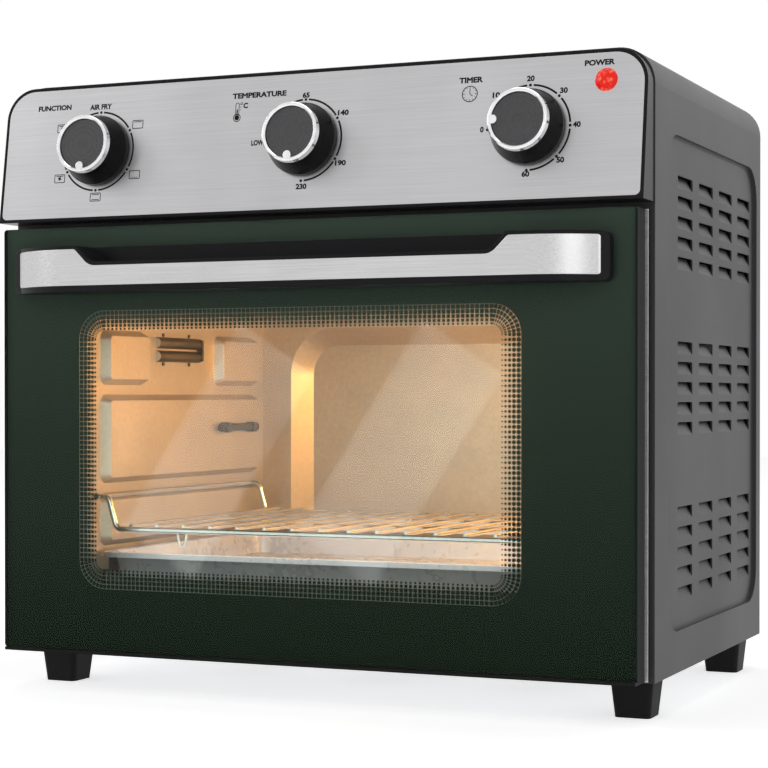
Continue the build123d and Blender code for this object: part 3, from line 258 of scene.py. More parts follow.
# control panel
fasciaLook = {
    "dark": (0.462, 0.455, 0.465), "light": (0.52, 0.512, 0.522), "grain": 1900.0, "stretch": (0.01, 1, 1),
    "rough": (0.3, 0.42), "metal": 1.0, "blotch": 5.0, "blotchStretch": (1.6, 1, 0.4), "cloud": 0.07,
    "bump": 0.1, "relief": 0.02, "edge": 0.3,
}
dress(makeFinish("fasciaSteel", fasciaLook), "fascia_plate")

bezelLook = {
    "dark": (0.012, 0.012, 0.013), "light": (0.02, 0.02, 0.021), "grain": 700.0, "rough": (0.2, 0.3),
    "bump": 0.05, "edge": 0.8, "Specular IOR Level": 0.08,
}
dress(makeFinish("bezelPlastic", bezelLook), "control_bezel", "cord_gland")

controlLook = {
    "dark": (0.6, 0.58, 0.52), "light": (0.72, 0.7, 0.64), "grain": 800.0, "rough": (0.45, 0.6),
    "edge": 0.5,
}
dress(makeFinish("controlPlastic", controlLook), "function_switch", "terminal_block", "power_lamp_holder")

turnedLook = {
    "dark": (0.42, 0.42, 0.42), "light": (0.58, 0.58, 0.57), "grain": 2200.0, "rough": (0.22, 0.36),
    "metal": 1.0, "bump": 0.08, "edge": 0.3,
}
dress(makeFinish("turnedSteel", turnedLook), "function_shaft", "temperature_shaft", "timer_shaft",
      "fan_shaft", "hinge_pins")

platedLook = {
    "dark": (0.68, 0.68, 0.67), "light": (0.8, 0.8, 0.79), "grain": 500.0, "rough": (0.1, 0.2),
    "metal": 1.0, "bump": 0.03, "edge": 0.3,
}
dress(makeFinish("platedSteel", platedLook), "timer_bell", "back_screws", "foot_screws", "handle_screws")

# the fascia's own plane: X to the right, Y up the slope, Z outwards, from the middle dial's centre
panelOut = -Vector(joints["function_turn"]["axis"])
panelUp = panelOut.cross(Vector((1, 0, 0)))


def panelPlace(centre):
    place = Matrix((Vector((1, 0, 0)), panelUp, panelOut)).transposed().to_4x4()
    place.translation = Vector(centre)
    return place


dials = {name: Vector(joints[name + "_turn"]["pos_m"]) for name in ("function", "temperature", "timer")}
panel = panelPlace(dials["temperature"])

printLook = {
    "dark": (0.008, 0.008, 0.009), "light": (0.015, 0.015, 0.016), "grain": 1800.0, "rough": (0.5, 0.6),
    "bump": 0.05, "edge": 0.02, "Specular IOR Level": 0.1,
}
panelPrint = {
    "low": -0.01 * mm, "high": 0.03 * mm, "capHeight": 3.25 * mm, "digitWidth": 2.32 * mm,
    "arcRadius": 23.5 * mm, "arcWidth": 1.1 * mm, "dotRadius": 0.85 * mm, "iconLine": 0.46 * mm,
    "iconSize": (7.3 * mm, 5.2 * mm), "iconCorner": 0.7 * mm, "arcGap": 4.5, "arcStep": 3.0,
    # word: middle across, middle up the slope from the dials' line, width, in mm
    "words": {
        "FUNCTION": (-166.4, 28.0, 23.0), "AIR FRY": (-134.5, 27.0, 15.0),
        "TEMPERATURE": (-29.7, 28.1, 34.4), "TIMER": (99.6, 28.5, 13.9), "POWER": (172.5, 33.6, 16.8),
        "LOW": (-29.0, -0.1, 7.8), "C": (-38.1, 22.2, 2.9),
    },
    "numbers": {
        "65": (0.0, 26.1), "140": (23.8, 14.6), "190": (23.9, -14.3), "230": (0.4, -26.8),
        "0": (107.3, 0.3), "10": (114.7, 19.1), "20": (134.0, 27.2), "30": (153.1, 19.5),
        "40": (161.2, 0.4), "50": (152.9, -18.6), "60": (133.6, -25.5),
    },
    "thermometer": (-43.3, 18.6), "clock": (99.2, 20.7), "digitGap": 0.25 * mm,
}


def printWords(mesh):
    low, high = panelPrint["low"], panelPrint["high"]
    for text, (x, rise, width) in panelPrint["words"].items():
        addWord(mesh, text, (x * mm, rise * mm), width * mm, panelPrint["capHeight"], panel, low, high)
    for text, (x, rise) in panelPrint["numbers"].items():
        width = len(text) * panelPrint["digitWidth"] - panelPrint["digitGap"]
        addWord(mesh, text, (x * mm, rise * mm), width, panelPrint["capHeight"], panel, low, high)


def printScale(mesh, centre, marks, arcs):
    # dots at the marks and thin arcs from mark to mark
    low, high = panelPrint["low"], panelPrint["high"]
    radius, half, gap = panelPrint["arcRadius"], panelPrint["arcWidth"] / 2, panelPrint["arcGap"]
    place = panelPlace(centre)
    for mark in marks:
        angle = math.radians(mark)
        spot = (radius * math.sin(angle), radius * math.cos(angle))
        addPrism(mesh, circlePoints(panelPrint["dotRadius"], 12, spot), place, low, high)
    for start, end in arcs:
        a, b = math.radians(start + gap), math.radians(end - gap)
        count = max(4, int((end - start) / panelPrint["arcStep"]))
        outer = circlePoints(radius + half, count, start=a, end=b)
        inner = circlePoints(radius - half, count, start=a, end=b)
        addBand(mesh, outer, inner, place, low, high, closed=False)


def roundedBox(halfWidth, halfHeight, corner, centre, steps=4):
    points = []
    for turn, (sx, sy) in enumerate(((1, 1), (1, -1), (-1, -1), (-1, 1))):
        cx = centre[0] + sx * (halfWidth - corner)
        cy = centre[1] + sy * (halfHeight - corner)
        for i in range(steps + 1):
            angle = math.pi / 2 * (turn + i / steps)
            points.append((cx + corner * math.sin(angle), cy + corner * math.cos(angle)))
    return points


iconPrint = {
    "innerCorner": 0.6, "sideGap": 2.6, "lineGap": 2.3, "dash": 0.6,  # in line widths, the dash in its span
    "hub": 0.8 * mm, "bladeReach": 1.35 * mm, "bladeTurn": 0.4, "fanBlade": 0.6 * mm, "starBlade": 0.45 * mm,
}


def printIcon(mesh, spot, lines, blades=0):
    # a small oven outline with its heating lines, and a fan or a star where it has blades
    low, high, line = panelPrint["low"], panelPrint["high"], panelPrint["iconLine"]
    width, height = panelPrint["iconSize"]
    corner = panelPrint["iconCorner"]
    outer = roundedBox(width / 2, height / 2, corner, spot)
    inner = roundedBox(width / 2 - line, height / 2 - line, corner - iconPrint["innerCorner"] * line, spot)
    place = panelPlace(dials["function"])
    addBand(mesh, outer, inner, place, low, high)
    inset = width / 2 - iconPrint["sideGap"] * line
    for side, dashes in lines:
        y = spot[1] + side * (height / 2 - iconPrint["lineGap"] * line)
        for dash in range(dashes):
            span = 2 * inset / dashes
            start = spot[0] - inset + dash * span
            share = iconPrint["dash"] if dashes > 1 else 1
            addBar(mesh, (start, y), (start + span * share, y), line, place, low, high)
    if blades:
        addPrism(mesh, circlePoints(iconPrint["hub"], 12, spot), place, low, high)
    reach = iconPrint["bladeReach"]
    for blade in range(blades):
        angle = 2 * math.pi * blade / blades + iconPrint["bladeTurn"]
        tip = (spot[0] + reach * math.sin(angle), spot[1] + reach * math.cos(angle))
        wide = iconPrint["fanBlade"] if blades == 4 else iconPrint["starBlade"]
        addBar(mesh, spot, tip, wide, place, low, high)


# the thermometer's tube and bore by half width, half height and corner, then its bulb and marks
glassPrint = {
    "tube": (1.25 * mm, 4.6 * mm, 1.2 * mm), "bore": (0.85 * mm, 4.2 * mm, 0.8 * mm), "tubeRise": 1.0 * mm,
    "bulbDrop": 3.4 * mm, "bulb": (2.4 * mm, 1.95 * mm), "filling": 1.5 * mm, "column": 0.8 * mm,
    "columnTop": 1.6 * mm, "markRise": 1.2 * mm, "markPitch": 1.6 * mm, "markEnds": (1.7 * mm, 2.6 * mm),
    "markWidth": 0.3 * mm, "degree": (0.75 * mm, 0.4 * mm), "degreePlace": (2.6 * mm, 4.9 * mm),
}


def printThermometer(mesh):
    low, high, look = panelPrint["low"], panelPrint["high"], glassPrint
    x, y = (value * mm for value in panelPrint["thermometer"])
    bulb = (x, y - look["bulbDrop"])
    tube = roundedBox(*look["tube"], (x, y + look["tubeRise"]))
    bore = roundedBox(*look["bore"], (x, y + look["tubeRise"]))
    addBand(mesh, tube, bore, panel, low, high)
    addBand(mesh, *[circlePoints(radius, 24, bulb) for radius in look["bulb"]], panel, low, high)
    addPrism(mesh, circlePoints(look["filling"], 20, bulb), panel, low, high)
    addBar(mesh, bulb, (x, y + look["columnTop"]), look["column"], panel, low, high)
    for mark in range(3):
        rise = y + look["markRise"] + look["markPitch"] * mark
        start, end = ((x + reach, rise) for reach in look["markEnds"])
        addBar(mesh, start, end, look["markWidth"], panel, low, high)
    degree = (x + look["degreePlace"][0], y + look["degreePlace"][1])
    addBand(mesh, *[circlePoints(radius, 14, degree) for radius in look["degree"]], panel, low, high)


clockPrint = {
    "rim": (4.6 * mm, 4.1 * mm), "quarter": 3.0 * mm, "hour": 3.35 * mm, "markEnd": 3.9 * mm,
    "markWidth": 0.35 * mm, "hands": ((0.0, 2.9 * mm), (2.2, 2.1 * mm)), "handWidth": 0.4 * mm,
}


def printClock(mesh):
    low, high, look = panelPrint["low"], panelPrint["high"], clockPrint
    centre = tuple(value * mm for value in panelPrint["clock"])
    addBand(mesh, *[circlePoints(radius, 40, centre) for radius in look["rim"]], panel, low, high)
    for hour in range(12):
        angle = 2 * math.pi * hour / 12
        reaches = (look["quarter"] if hour % 3 == 0 else look["hour"], look["markEnd"])
        ends = [(centre[0] + r * math.sin(angle), centre[1] + r * math.cos(angle)) for r in reaches]
        addBar(mesh, *ends, look["markWidth"], panel, low, high)
    for angle, length in look["hands"]:
        tip = (centre[0] + length * math.sin(angle), centre[1] + length * math.cos(angle))
        addBar(mesh, centre, tip, look["handWidth"], panel, low, high)


printMesh = bmesh.new()
printWords(printMesh)
sixths = [60 * step for step in range(6)]
printScale(printMesh, dials["function"], sixths, [(mark, mark + 60) for mark in sixths])
heatMarks = [0, 60, 120, 180]
lowTurn = -96  # the scale starts beside the word for its lowest setting
printScale(printMesh, dials["temperature"], heatMarks, list(zip([lowTurn] + heatMarks, heatMarks)))
minuteMarks = [-90 + 45 * step for step in range(7)]
printScale(printMesh, dials["timer"], minuteMarks, list(zip(minuteMarks, minuteMarks[1:])))
printIcon(printMesh, (25.5 * mm, 15.0 * mm), [(1, 1)])
printIcon(printMesh, (25.7 * mm, -15.2 * mm), [(-1, 4)])
printIcon(printMesh, (0.2 * mm, -27.6 * mm), [(1, 1), (-1, 1)])
printIcon(printMesh, (-25.3 * mm, -15.5 * mm), [(1, 1)], blades=4)
printIcon(printMesh, (-25.9 * mm, 15.1 * mm), [(1, 1)], blades=6)
printThermometer(printMesh)
printClock(printMesh)
finishPiece("fasciaPrint", printMesh, makeFinish("panelInk", printLook), "oven")
print("fascia printed")

# dials
knobLook = {
    "dark": (0.007, 0.007, 0.008), "light": (0.013, 0.013, 0.014), "grain": 500.0, "rough": (0.18, 0.28),
    "bump": 0.03, "edge": 0.7, "Specular IOR Level": 0.08,
}
chromeLook = {
    "dark": (0.74, 0.74, 0.75), "light": (0.86, 0.86, 0.87), "grain": 260.0, "rough": (0.06, 0.14),
    "metal": 1.0, "bump": 0.02, "edge": 0.35,
}
knobFace = {
    "radius": 14.5 * mm, "low": 17.45 * mm, "high": 17.7 * mm, "tone": (0.05, 0.048, 0.051), "speck": 900.0,
    "rings": 5200.0, "rough": (0.26, 0.36), "bump": 0.2, "relief": 0.02,
}


def spunPlastic(name, look, centre):
    # fine rings turned about the dial's own axis
    material, tree, shader = newMaterial(name)
    place = addNode(tree, "ShaderNodeTexCoord").outputs["Object"]
    away = addNode(tree, "ShaderNodeVectorMath", {0: place, 1: tuple(centre)}, operation="DISTANCE")
    ring = addNode(tree, "ShaderNodeMath", {0: away.outputs["Value"], 1: look["rings"]}, operation="MULTIPLY")
    wave = addNode(tree, "ShaderNodeMath", {0: ring.outputs[0]}, operation="SINE").outputs[0]
    paler = tuple(1.5 * v for v in look["tone"])
    speck = ramp(tree, noiseField(tree, look["speck"]), [(0.35, look["tone"]), (0.65, paler)])
    tree.links.new(speck, shader.inputs["Base Color"])
    tree.links.new(remap(tree, wave, *look["rough"], -1, 1), shader.inputs["Roughness"])
    relief = addNode(tree, "ShaderNodeBump", {
        "Height": wave, "Strength": look["bump"], "Distance": look["relief"] * mm,
    })
    tree.links.new(relief.outputs[0], shader.inputs["Normal"])
    return material


knobPlastic = makeFinish("knobPlastic", knobLook)
knobChrome = makeFinish("knobChrome", chromeLook)
for name, centre in dials.items():
    dress(knobPlastic, name + "_knob")
    dress(knobChrome, name + "_knob_ring")
    faceMesh = bmesh.new()
    rim = circlePoints(knobFace["radius"], 64)
    addPrism(faceMesh, rim, panelPlace(centre), knobFace["low"], knobFace["high"])
    spun = spunPlastic(name + "Face", knobFace, centre)
    face = finishPiece(name + "DialFace", faceMesh, spun, name + "_dial")


lensLook = {
    "facets": 420.0, "pale": (1.0, 0.13, 0.06), "deep": (0.72, 0.012, 0.006), "glow": 0.5, "rough": 0.12,
    "gloss": 0.2, "bump": 0.5, "relief": 0.3,
}


def redLens(look):
    # moulded prisms inside a clear red dome, lit from behind
    material, tree, shader = newMaterial("redLens")
    place = addNode(tree, "ShaderNodeTexCoord").outputs["Object"]
    facets = addNode(tree, "ShaderNodeTexVoronoi", {"Vector": place, "Scale": look["facets"]}, feature="F1")
    depth = facets.outputs["Distance"]
    glow = ramp(tree, depth, [(0.1, look["pale"]), (0.55, look["deep"])])
    tree.links.new(glow, shader.inputs["Base Color"])
    tree.links.new(glow, shader.inputs["Emission Color"])
    shader.inputs["Emission Strength"].default_value = look["glow"]
    shader.inputs["Roughness"].default_value = look["rough"]
    shader.inputs["Specular IOR Level"].default_value = look["gloss"]
    relief = addNode(tree, "ShaderNodeBump", {
        "Height": depth, "Strength": look["bump"], "Distance": look["relief"] * mm,
    })
    tree.links.new(relief.outputs[0], shader.inputs["Normal"])
    return material


dress(redLens(lensLook), "power_lamp_lens")
print("dials and lamp done")

# door
paneLook = {
    "ior": 1.2, "tint": (0.93, 0.97, 0.94), "rough": 0.02, "ground": 0.7, "edgeColor": (0.02, 0.032, 0.028),
}
printSheet = {
    "deep": 0.35 * mm, "thick": 0.12 * mm, "edge": 0.03 * mm,  # fired on just inside the back of the pane
    "left": -145.4 * mm, "right": 131.1 * mm, "bottom": 61.6 * mm, "top": 225.5 * mm,
    "corner": 17.0 * mm, "dotPitch": 2.78 * mm,
}
# the dot pattern's rows from the rim inwards, in mm: depth, half side of a square, radius of a round dot
dotRows = ((1.45, 1.17, 1.28), (4.15, 1.1, 1.14), (6.65, 0.98, 0.93), (8.95, 0.82, 0.7), (10.9, 0.58, 0.45))
# the door's dark green enamel; its paler top colour is painted light
greenLook = {
    "bottom": (0.0135, 0.029, 0.0145), "top": (0.08, 0.12, 0.09), "low": 0.03, "high": 0.275,
    "rough": 0.5, "grain": 900.0, "cloud": 0.08,
}


def clearPane(name, look):
    material, tree, shader = newMaterial(name)
    tree.nodes.remove(shader)
    smudge = noiseField(tree, 400.0, detail=2.0)
    gloss = addNode(tree, "ShaderNodeBsdfGlossy", {
        "Roughness": remap(tree, smudge, look["rough"], look["rough"] + 0.01),
    })
    clear = addNode(tree, "ShaderNodeBsdfTransparent", {"Color": (*look["tint"], 1.0)})
    edgeOn = addNode(tree, "ShaderNodeFresnel", {"IOR": look["ior"]})
    face = mixShaders(tree, edgeOn.outputs[0], clear, gloss)
    # the ground side edges are dull and take the pane's deeper colour
    normal = addNode(tree, "ShaderNodeNewGeometry").outputs["Normal"]
    sideways = addNode(tree, "ShaderNodeSeparateXYZ", {"Vector": normal}).outputs["X"]
    size = addNode(tree, "ShaderNodeMath", {0: sideways}, operation="ABSOLUTE").outputs[0]
    ground = addNode(tree, "ShaderNodeMath", {0: size, 1: look["ground"]}, operation="GREATER_THAN")
    dull = addNode(tree, "ShaderNodeBsdfDiffuse", {"Color": (*look["edgeColor"], 1.0)})
    finishSurface(tree, mixShaders(tree, ground.outputs[0], face, dull))
    return material


def firedPrintAndPaintedLight(name, look):
    # dark green enamel, a little paler towards the top of the door; that paling is painted light
    material, tree, shader = newMaterial(name)
    place = addNode(tree, "ShaderNodeTexCoord").outputs["Object"]
    height = addNode(tree, "ShaderNodeSeparateXYZ", {"Vector": place}).outputs["Z"]
    # painted light: the enamel pales with height up the door
    rise = remap(tree, height, 0.0, 1.0, look["low"], look["high"])
    tone = mixColors(tree, rise, look["bottom"], look["top"])
    speck = remap(tree, noiseField(tree, look["grain"]), 1.0 - look["cloud"], 1.0 + look["cloud"])
    speckled = mixColors(tree, 1.0, tone, greyColor(tree, speck), "MULTIPLY")
    tree.links.new(speckled, shader.inputs["Base Color"])
    shader.inputs["Roughness"].default_value = look["rough"]
    shader.inputs["Specular IOR Level"].default_value = 0.0
    return material


dress(clearPane("paneGlass", paneLook), "door_glass")
greenPrintAndPaintedLight = firedPrintAndPaintedLight("greenPrintAndPaintedLight", greenLook)
paneLow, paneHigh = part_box("door_glass")
doorPlace = Matrix(((1, 0, 0), (0, 0, 1), (0, -1, 0))).transposed().to_4x4()  # local Z points out of the door
doorPlace.translation = Vector((0, paneHigh.y - printSheet["deep"], 0))


def windowFrame(inset):
    # the window's middle and half sizes, this far in from its edge
    middle = ((printSheet["right"] + printSheet["left"]) / 2, (printSheet["top"] + printSheet["bottom"]) / 2)
    halfWidth = (printSheet["right"] - printSheet["left"]) / 2 - inset
    halfHeight = (printSheet["top"] - printSheet["bottom"]) / 2 - inset
    return middle, halfWidth, halfHeight


def windowOutline(inset, steps=12):
    middle, halfWidth, halfHeight = windowFrame(inset)
    return roundedBox(halfWidth, halfHeight, printSheet["corner"] - inset, middle, steps)


def sheetOutline(window):
    # the pane's outline with a point for each point of the window
    low = Vector((paneLow.x + printSheet["edge"], paneLow.z + printSheet["edge"]))
    high = Vector((paneHigh.x - printSheet["edge"], paneHigh.z - printSheet["edge"]))
    count = len(window) // 4
    points = []
    for turn, (cx, cy) in enumerate(((high.x, high.y), (high.x, low.y), (low.x, low.y), (low.x, high.y))):
        for i in range(count):
            wx, wy = window[turn * count + i]
            half = i < count / 2
            if i == count // 2:
                points.append((cx, cy))
            elif turn % 2 == 0:
                points.append((wx, cy) if half else (cx, wy))
            else:
                points.append((cx, wy) if half else (wx, cy))
    return points


sheetMesh = bmesh.new()
windowEdge = windowOutline(0)
addBand(sheetMesh, sheetOutline(windowEdge), windowEdge, doorPlace, 0, printSheet["thick"])
finishPiece("doorPrint", sheetMesh, greenPrintAndPaintedLight, "door")


def dotRow(inset):
    # dots stand at the same places along the sides in every row, and on radii round the corners
    (centreX, centreZ), reachX, reachZ = windowFrame(printSheet["corner"])
    radius = printSheet["corner"] - inset
    acrossCount = round(2 * reachX / printSheet["dotPitch"])
    uprightCount = round(2 * reachZ / printSheet["dotPitch"])
    turnCount = round(printSheet["corner"] * math.pi / 2 / printSheet["dotPitch"])
    sides, corners, rightSide = [], [], []
    for side in (-1, 1):
        for i in range(acrossCount + 1):
            x = centreX + 2 * reachX * (i / acrossCount - 0.5)
            sides.append((x, centreZ + side * (reachZ + radius)))
        for i in range(uprightCount + 1):
            z = centreZ + 2 * reachZ * (i / uprightCount - 0.5)
            upright = sides if side < 0 else rightSide
            upright.append((centreX + side * (reachX + radius), z))
    for sx, sz in ((-1, -1), (-1, 1), (1, -1), (1, 1)):
        for i in range(1, turnCount):
            angle = math.pi / 2 * i / turnCount
            x = centreX + sx * (reachX + radius * math.sin(angle))
            z = centreZ + sz * (reachZ + radius * math.cos(angle))
            corners.append((x, z, sx * sz * angle))
    return sides, corners, rightSide, radius / printSheet["corner"]


def squareDot(centre, halfAcross, halfOut, turn):
    # a small square with cut corners
    cut = 0.3 * min(halfAcross, halfOut)
    quarter = [(halfAcross, halfOut - cut), (halfAcross - cut, halfOut)]
    upper = quarter + [(-x, y) for x, y in quarter[::-1]]
    shape = upper + [(-x, -y) for x, y in upper]
    c, n = math.cos(turn), math.sin(turn)
    return [(centre[0] + x * c + y * n, centre[1] - x * n + y * c) for x, y in shape]


dotMesh = bmesh.new()
for row in dotRows:
    inset, half, radius = (value * mm for value in row)
    sides, corners, rightSide, shrink = dotRow(inset)
    for spot in sides:
        addPrism(dotMesh, squareDot(spot, half, half, 0.0), doorPlace, 0, printSheet["thick"])
    for x, z, turn in corners:
        addPrism(dotMesh, squareDot((x, z), half * shrink, half, turn), doorPlace, 0, printSheet["thick"])
    for spot in rightSide:
        addPrism(dotMesh, circlePoints(radius, 14, spot), doorPlace, 0, printSheet["thick"])
finishPiece("windowDots", dotMesh, greenPrintAndPaintedLight, "door")

# a thin sheet of painted shade behind the dots, standing in for the shaded frame seen between them: dense at
# the rim and clear at its inner edge, thinner on the right where that frame is lit
veil = {
    "inset": 11.8 * mm, "low": -0.2 * mm, "high": -0.1 * mm, "cover": 0.85, "rightShare": 0.2,
    "fadeWidth": 22 * mm, "color": (0.3, 0.36, 0.3), "paler": 1.15, "grain": 700.0,
}


def shadeVeilPaint():
    # the sheet's flecked grey-green is painted shade
    material, tree, shader = newMaterial("dotShadeVeil")
    tree.nodes.remove(shader)
    fade = addNode(tree, "ShaderNodeAttribute", attribute_name="fade").outputs["Fac"]
    cover = addNode(tree, "ShaderNodeMath", {0: fade, 1: veil["cover"]}, operation="MULTIPLY")
    paler = tuple(veil["paler"] * value for value in veil["color"])
    speck = ramp(tree, noiseField(tree, veil["grain"]), [(0.3, veil["color"]), (0.7, paler)])
    paint = addNode(tree, "ShaderNodeBsdfDiffuse", {"Color": speck})
    clear = addNode(tree, "ShaderNodeBsdfTransparent")
    finishSurface(tree, mixShaders(tree, cover.outputs[0], clear, paint))
    return material


veilMesh = bmesh.new()
veilOuter, veilInner = windowOutline(0), windowOutline(veil["inset"])
addBand(veilMesh, veilOuter, veilInner, doorPlace, veil["low"], veil["high"])
fadeLayer = veilMesh.verts.layers.float.new("fade")
# how thick the painted shade lies: full at the rim, thin by the lit right side
for index, vertex in enumerate(veilMesh.verts):
    fromRight = (printSheet["right"] - vertex.co.x) / veil["fadeWidth"]
    strength = max(veil["rightShare"], min(1.0, fromRight))
    vertex[fadeLayer] = strength if index // len(veilOuter) in (0, 3) else 0.0  # the band's two outer rings
finishPiece("dotShadeVeil", veilMesh, shadeVeilPaint(), "door")

doorSteelLook = {
    "dark": (0.56, 0.55, 0.55), "light": (0.68, 0.67, 0.67), "grain": 1100.0, "stretch": (0.05, 1, 1),
    "rough": (0.3, 0.42), "metal": 1.0, "bump": 0.06, "edge": 0.4,
}
dress(makeFinish("doorSteel", doorSteelLook), "door_frame", "hinge_brackets")
railLook = {
    "dark": (0.014, 0.015, 0.014), "light": (0.024, 0.025, 0.024), "grain": 1500.0, "rough": (0.4, 0.55),
    "bump": 0.12, "edge": 0.4, "Specular IOR Level": 0.05,
}
dress(makeFinish("railPaint", railLook), "door_rail_left", "door_rail_right", "door_bottom_trim")

handleLook = {
    "dark": (0.009, 0.009, 0.011), "light": (0.016, 0.016, 0.018), "grain": 1700.0, "rough": (0.28, 0.38),
    "bump": 0.12, "edge": 1.0, "Specular IOR Level": 0.1,
}
dress(makeFinish("handlePlastic", handleLook), "door_handle")
inlayLook = {
    "dark": (0.54, 0.535, 0.54), "light": (0.62, 0.615, 0.62), "grain": 1700.0, "stretch": (0.012, 1, 1),
    "rough": (0.24, 0.34), "metal": 1.0, "blotchStretch": (1.2, 1, 0.2), "cloud": 0.04, "bump": 0.08,
    "relief": 0.02, "edge": 0.6,
}
dress(makeFinish("inlaySteel", inlayLook), "handle_trim")
print("door done")

# cavity
cavityLook = {
    "dark": (0.58, 0.5, 0.42), "light": (0.65, 0.57, 0.48), "grain": 420.0, "rough": (0.36, 0.46),
    "metal": 0.7, "blotch": 26.0, "cloud": 0.06, "bump": 0.04, "relief": 0.04, "edge": 0.8,
}
dress(makeFinish("aluminisedSteel", cavityLook), "cavity_left_wall", "cavity_right_wall", "cavity_floor",
      "cavity_ceiling", "cavity_back_wall", "fan_guard")
rodLook = {
    "dark": (0.1, 0.085, 0.075), "light": (0.2, 0.175, 0.16), "grain": 300.0, "rough": (0.35, 0.55),
    "metal": 0.9, "blotch": 40.0, "cloud": 0.2, "bump": 0.1, "edge": 0.3,
}
dress(makeFinish("heatedSheath", rodLook), "upper_heaters", "lower_heaters", "thermostat_sensor")
ceramicLook = {
    "dark": (0.7, 0.68, 0.62), "light": (0.82, 0.8, 0.75), "grain": 600.0, "rough": (0.25, 0.4),
    "edge": 0.5,
}
dress(makeFinish("ceramic", ceramicLook), "heater_insulators")
rackLook = {
    "dark": (0.72, 0.72, 0.72), "light": (0.84, 0.84, 0.84), "grain": 350.0, "rough": (0.1, 0.2),
    "metal": 1.0, "bump": 0.03, "edge": 0.2,
}
rackChrome = makeFinish("rackChrome", rackLook)
dress(rackChrome, "wire_rack")
trayLook = {
    "dark": (0.62, 0.66, 0.77), "light": (0.67, 0.71, 0.82), "grain": 260.0, "rough": (0.24, 0.34),
    "metal": 0.15, "blotch": 14.0, "cloud": 0.05, "bump": 0.02, "edge": 0.25,
}
dress(makeFinish("trayEnamel", trayLook), "baking_tray")


# the left wall's air vent: two dark half-round shields between riveted ends
vent = {
    "wall": -152.0 * mm, "start": 85.0 * mm, "length": 53.0 * mm, "rows": (209.3 * mm, 200.7 * mm),
    "inner": 3.35 * mm, "outer": 3.62 * mm, "over": 0.3 * mm, "endCap": 2.4 * mm, "capNarrow": 2.4 * mm,
    "capRise": 4.2 * mm, "rivet": 1.15 * mm, "rivetRise": 0.9 * mm, "rivetSide": 5.0 * mm,
    "rivetAlong": (8 * mm, 42 * mm),
}
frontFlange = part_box("front_frame")[0].y
ventMesh = bmesh.new()
ventStart = frontFlange + vent["start"]
# local X up the wall, local Y into the cavity, local Z along the wall
ventPlace = Matrix(((0, 0, 1), (1, 0, 0), (0, 1, 0))).transposed().to_4x4()
ventPlace.translation = Vector((vent["wall"], ventStart, 0))
shieldEnd = vent["length"] + vent["over"]
for z in vent["rows"]:
    arcs = [circlePoints(vent[side], 14, (z, 0), -math.pi / 2, math.pi / 2) for side in ("outer", "inner")]
    addPrism(ventMesh, arcs[0] + arcs[1][::-1], ventPlace, -vent["over"], shieldEnd)
top, bottom = vent["rows"]
capOuter = [
    (bottom - vent["outer"], 0), (top + vent["outer"], 0),
    (top + vent["capNarrow"], vent["capRise"]), (bottom - vent["capNarrow"], vent["capRise"]),
]
addPrism(ventMesh, capOuter, ventPlace, shieldEnd, vent["length"] + vent["endCap"])
rivetPlace = Matrix(((0, 1, 0), (0, 0, 1), (1, 0, 0))).transposed().to_4x4()
for y in vent["rivetAlong"]:
    for z in (top + vent["rivetSide"], bottom - vent["rivetSide"]):
        rivetPlace.translation = Vector((vent["wall"], ventStart + y, z))
        addPrism(ventMesh, circlePoints(vent["rivet"], 14), rivetPlace, 0, vent["rivetRise"])
ventLook = {
    "dark": (0.1, 0.075, 0.045), "light": (0.22, 0.17, 0.11), "grain": 260.0, "stretch": (1, 0.1, 1),
    "rough": (0.3, 0.5), "metal": 0.8, "cloud": 0.15, "bump": 0.08, "edge": 0.4,
}
finishPiece("wallVent", ventMesh, makeFinish("ventSteel", ventLook), "oven", smooth=True)


def addWire(mesh, path, radius, sides=10):
    # a round wire through a row of points, closed at both ends
    rings = []
    for index, point in enumerate(path):
        ahead = path[min(index + 1, len(path) - 1)] - path[max(index - 1, 0)]
        across = ahead.cross(Vector((0, 1, 0))).normalized()
        deep = ahead.cross(across).normalized()
        ring = []
        for side in range(sides):
            angle = 2 * math.pi * side / sides
            ring.append(mesh.verts.new(point + radius * (across * math.cos(angle) + deep * math.sin(angle))))
        rings.append(ring)
    for a, b in zip(rings, rings[1:]):
        for side in range(sides):
            after = (side + 1) % sides
            mesh.faces.new((a[side], a[after], b[after], b[side]))
    mesh.faces.new(rings[0][::-1])
    mesh.faces.new(rings[-1])


# a small stop loop bent down from the rack's front rod, on the left
loop = {
    "x": -91 * mm, "half": 3.2 * mm, "drop": 8.6 * mm, "radius": 0.9 * mm, "behind": 4.4 * mm,
    "above": 0.9 * mm, "steps": 14, "fullness": 2.6,
}
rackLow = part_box("wire_rack")[0]
path = []
for step in range(loop["steps"] + 1):
    share = 2 * step / loop["steps"] - 1
    drop = loop["drop"] * (1 - abs(share) ** loop["fullness"])
    x = loop["x"] + share * loop["half"]
    path.append(Vector((x, rackLow.y + loop["behind"], rackLow.z + loop["above"] - drop)))
loopMesh = bmesh.new()
addWire(loopMesh, path, loop["radius"])
finishPiece("rackStop", loopMesh, rackChrome, "rack", smooth=True)

lampGlassLook = {
    "ior": 1.4, "tint": (1.0, 0.96, 0.88), "rough": 0.05, "edgeColor": (0.5, 0.5, 0.5),
    "ground": 1.1,  # more than a normal can reach, so no face of it is dull
}
dress(clearPane("lampGlass", lampGlassLook), "cavity_lamp_cover")


bulbLook = {"amber": (1.0, 0.75, 0.4), "pale": (1.0, 0.86, 0.6), "grain": 200.0, "glow": 12.0, "rough": 0.3}


def litBulb(look):
    material, tree, shader = newMaterial("litBulb")
    haze = ramp(tree, noiseField(tree, look["grain"]), [(0.3, look["amber"]), (0.7, look["pale"])])
    tree.links.new(haze, shader.inputs["Emission Color"])
    shader.inputs["Emission Strength"].default_value = look["glow"]
    shader.inputs["Roughness"].default_value = look["rough"]
    return material


dress(litBulb(bulbLook), "cavity_lamp_bulb")

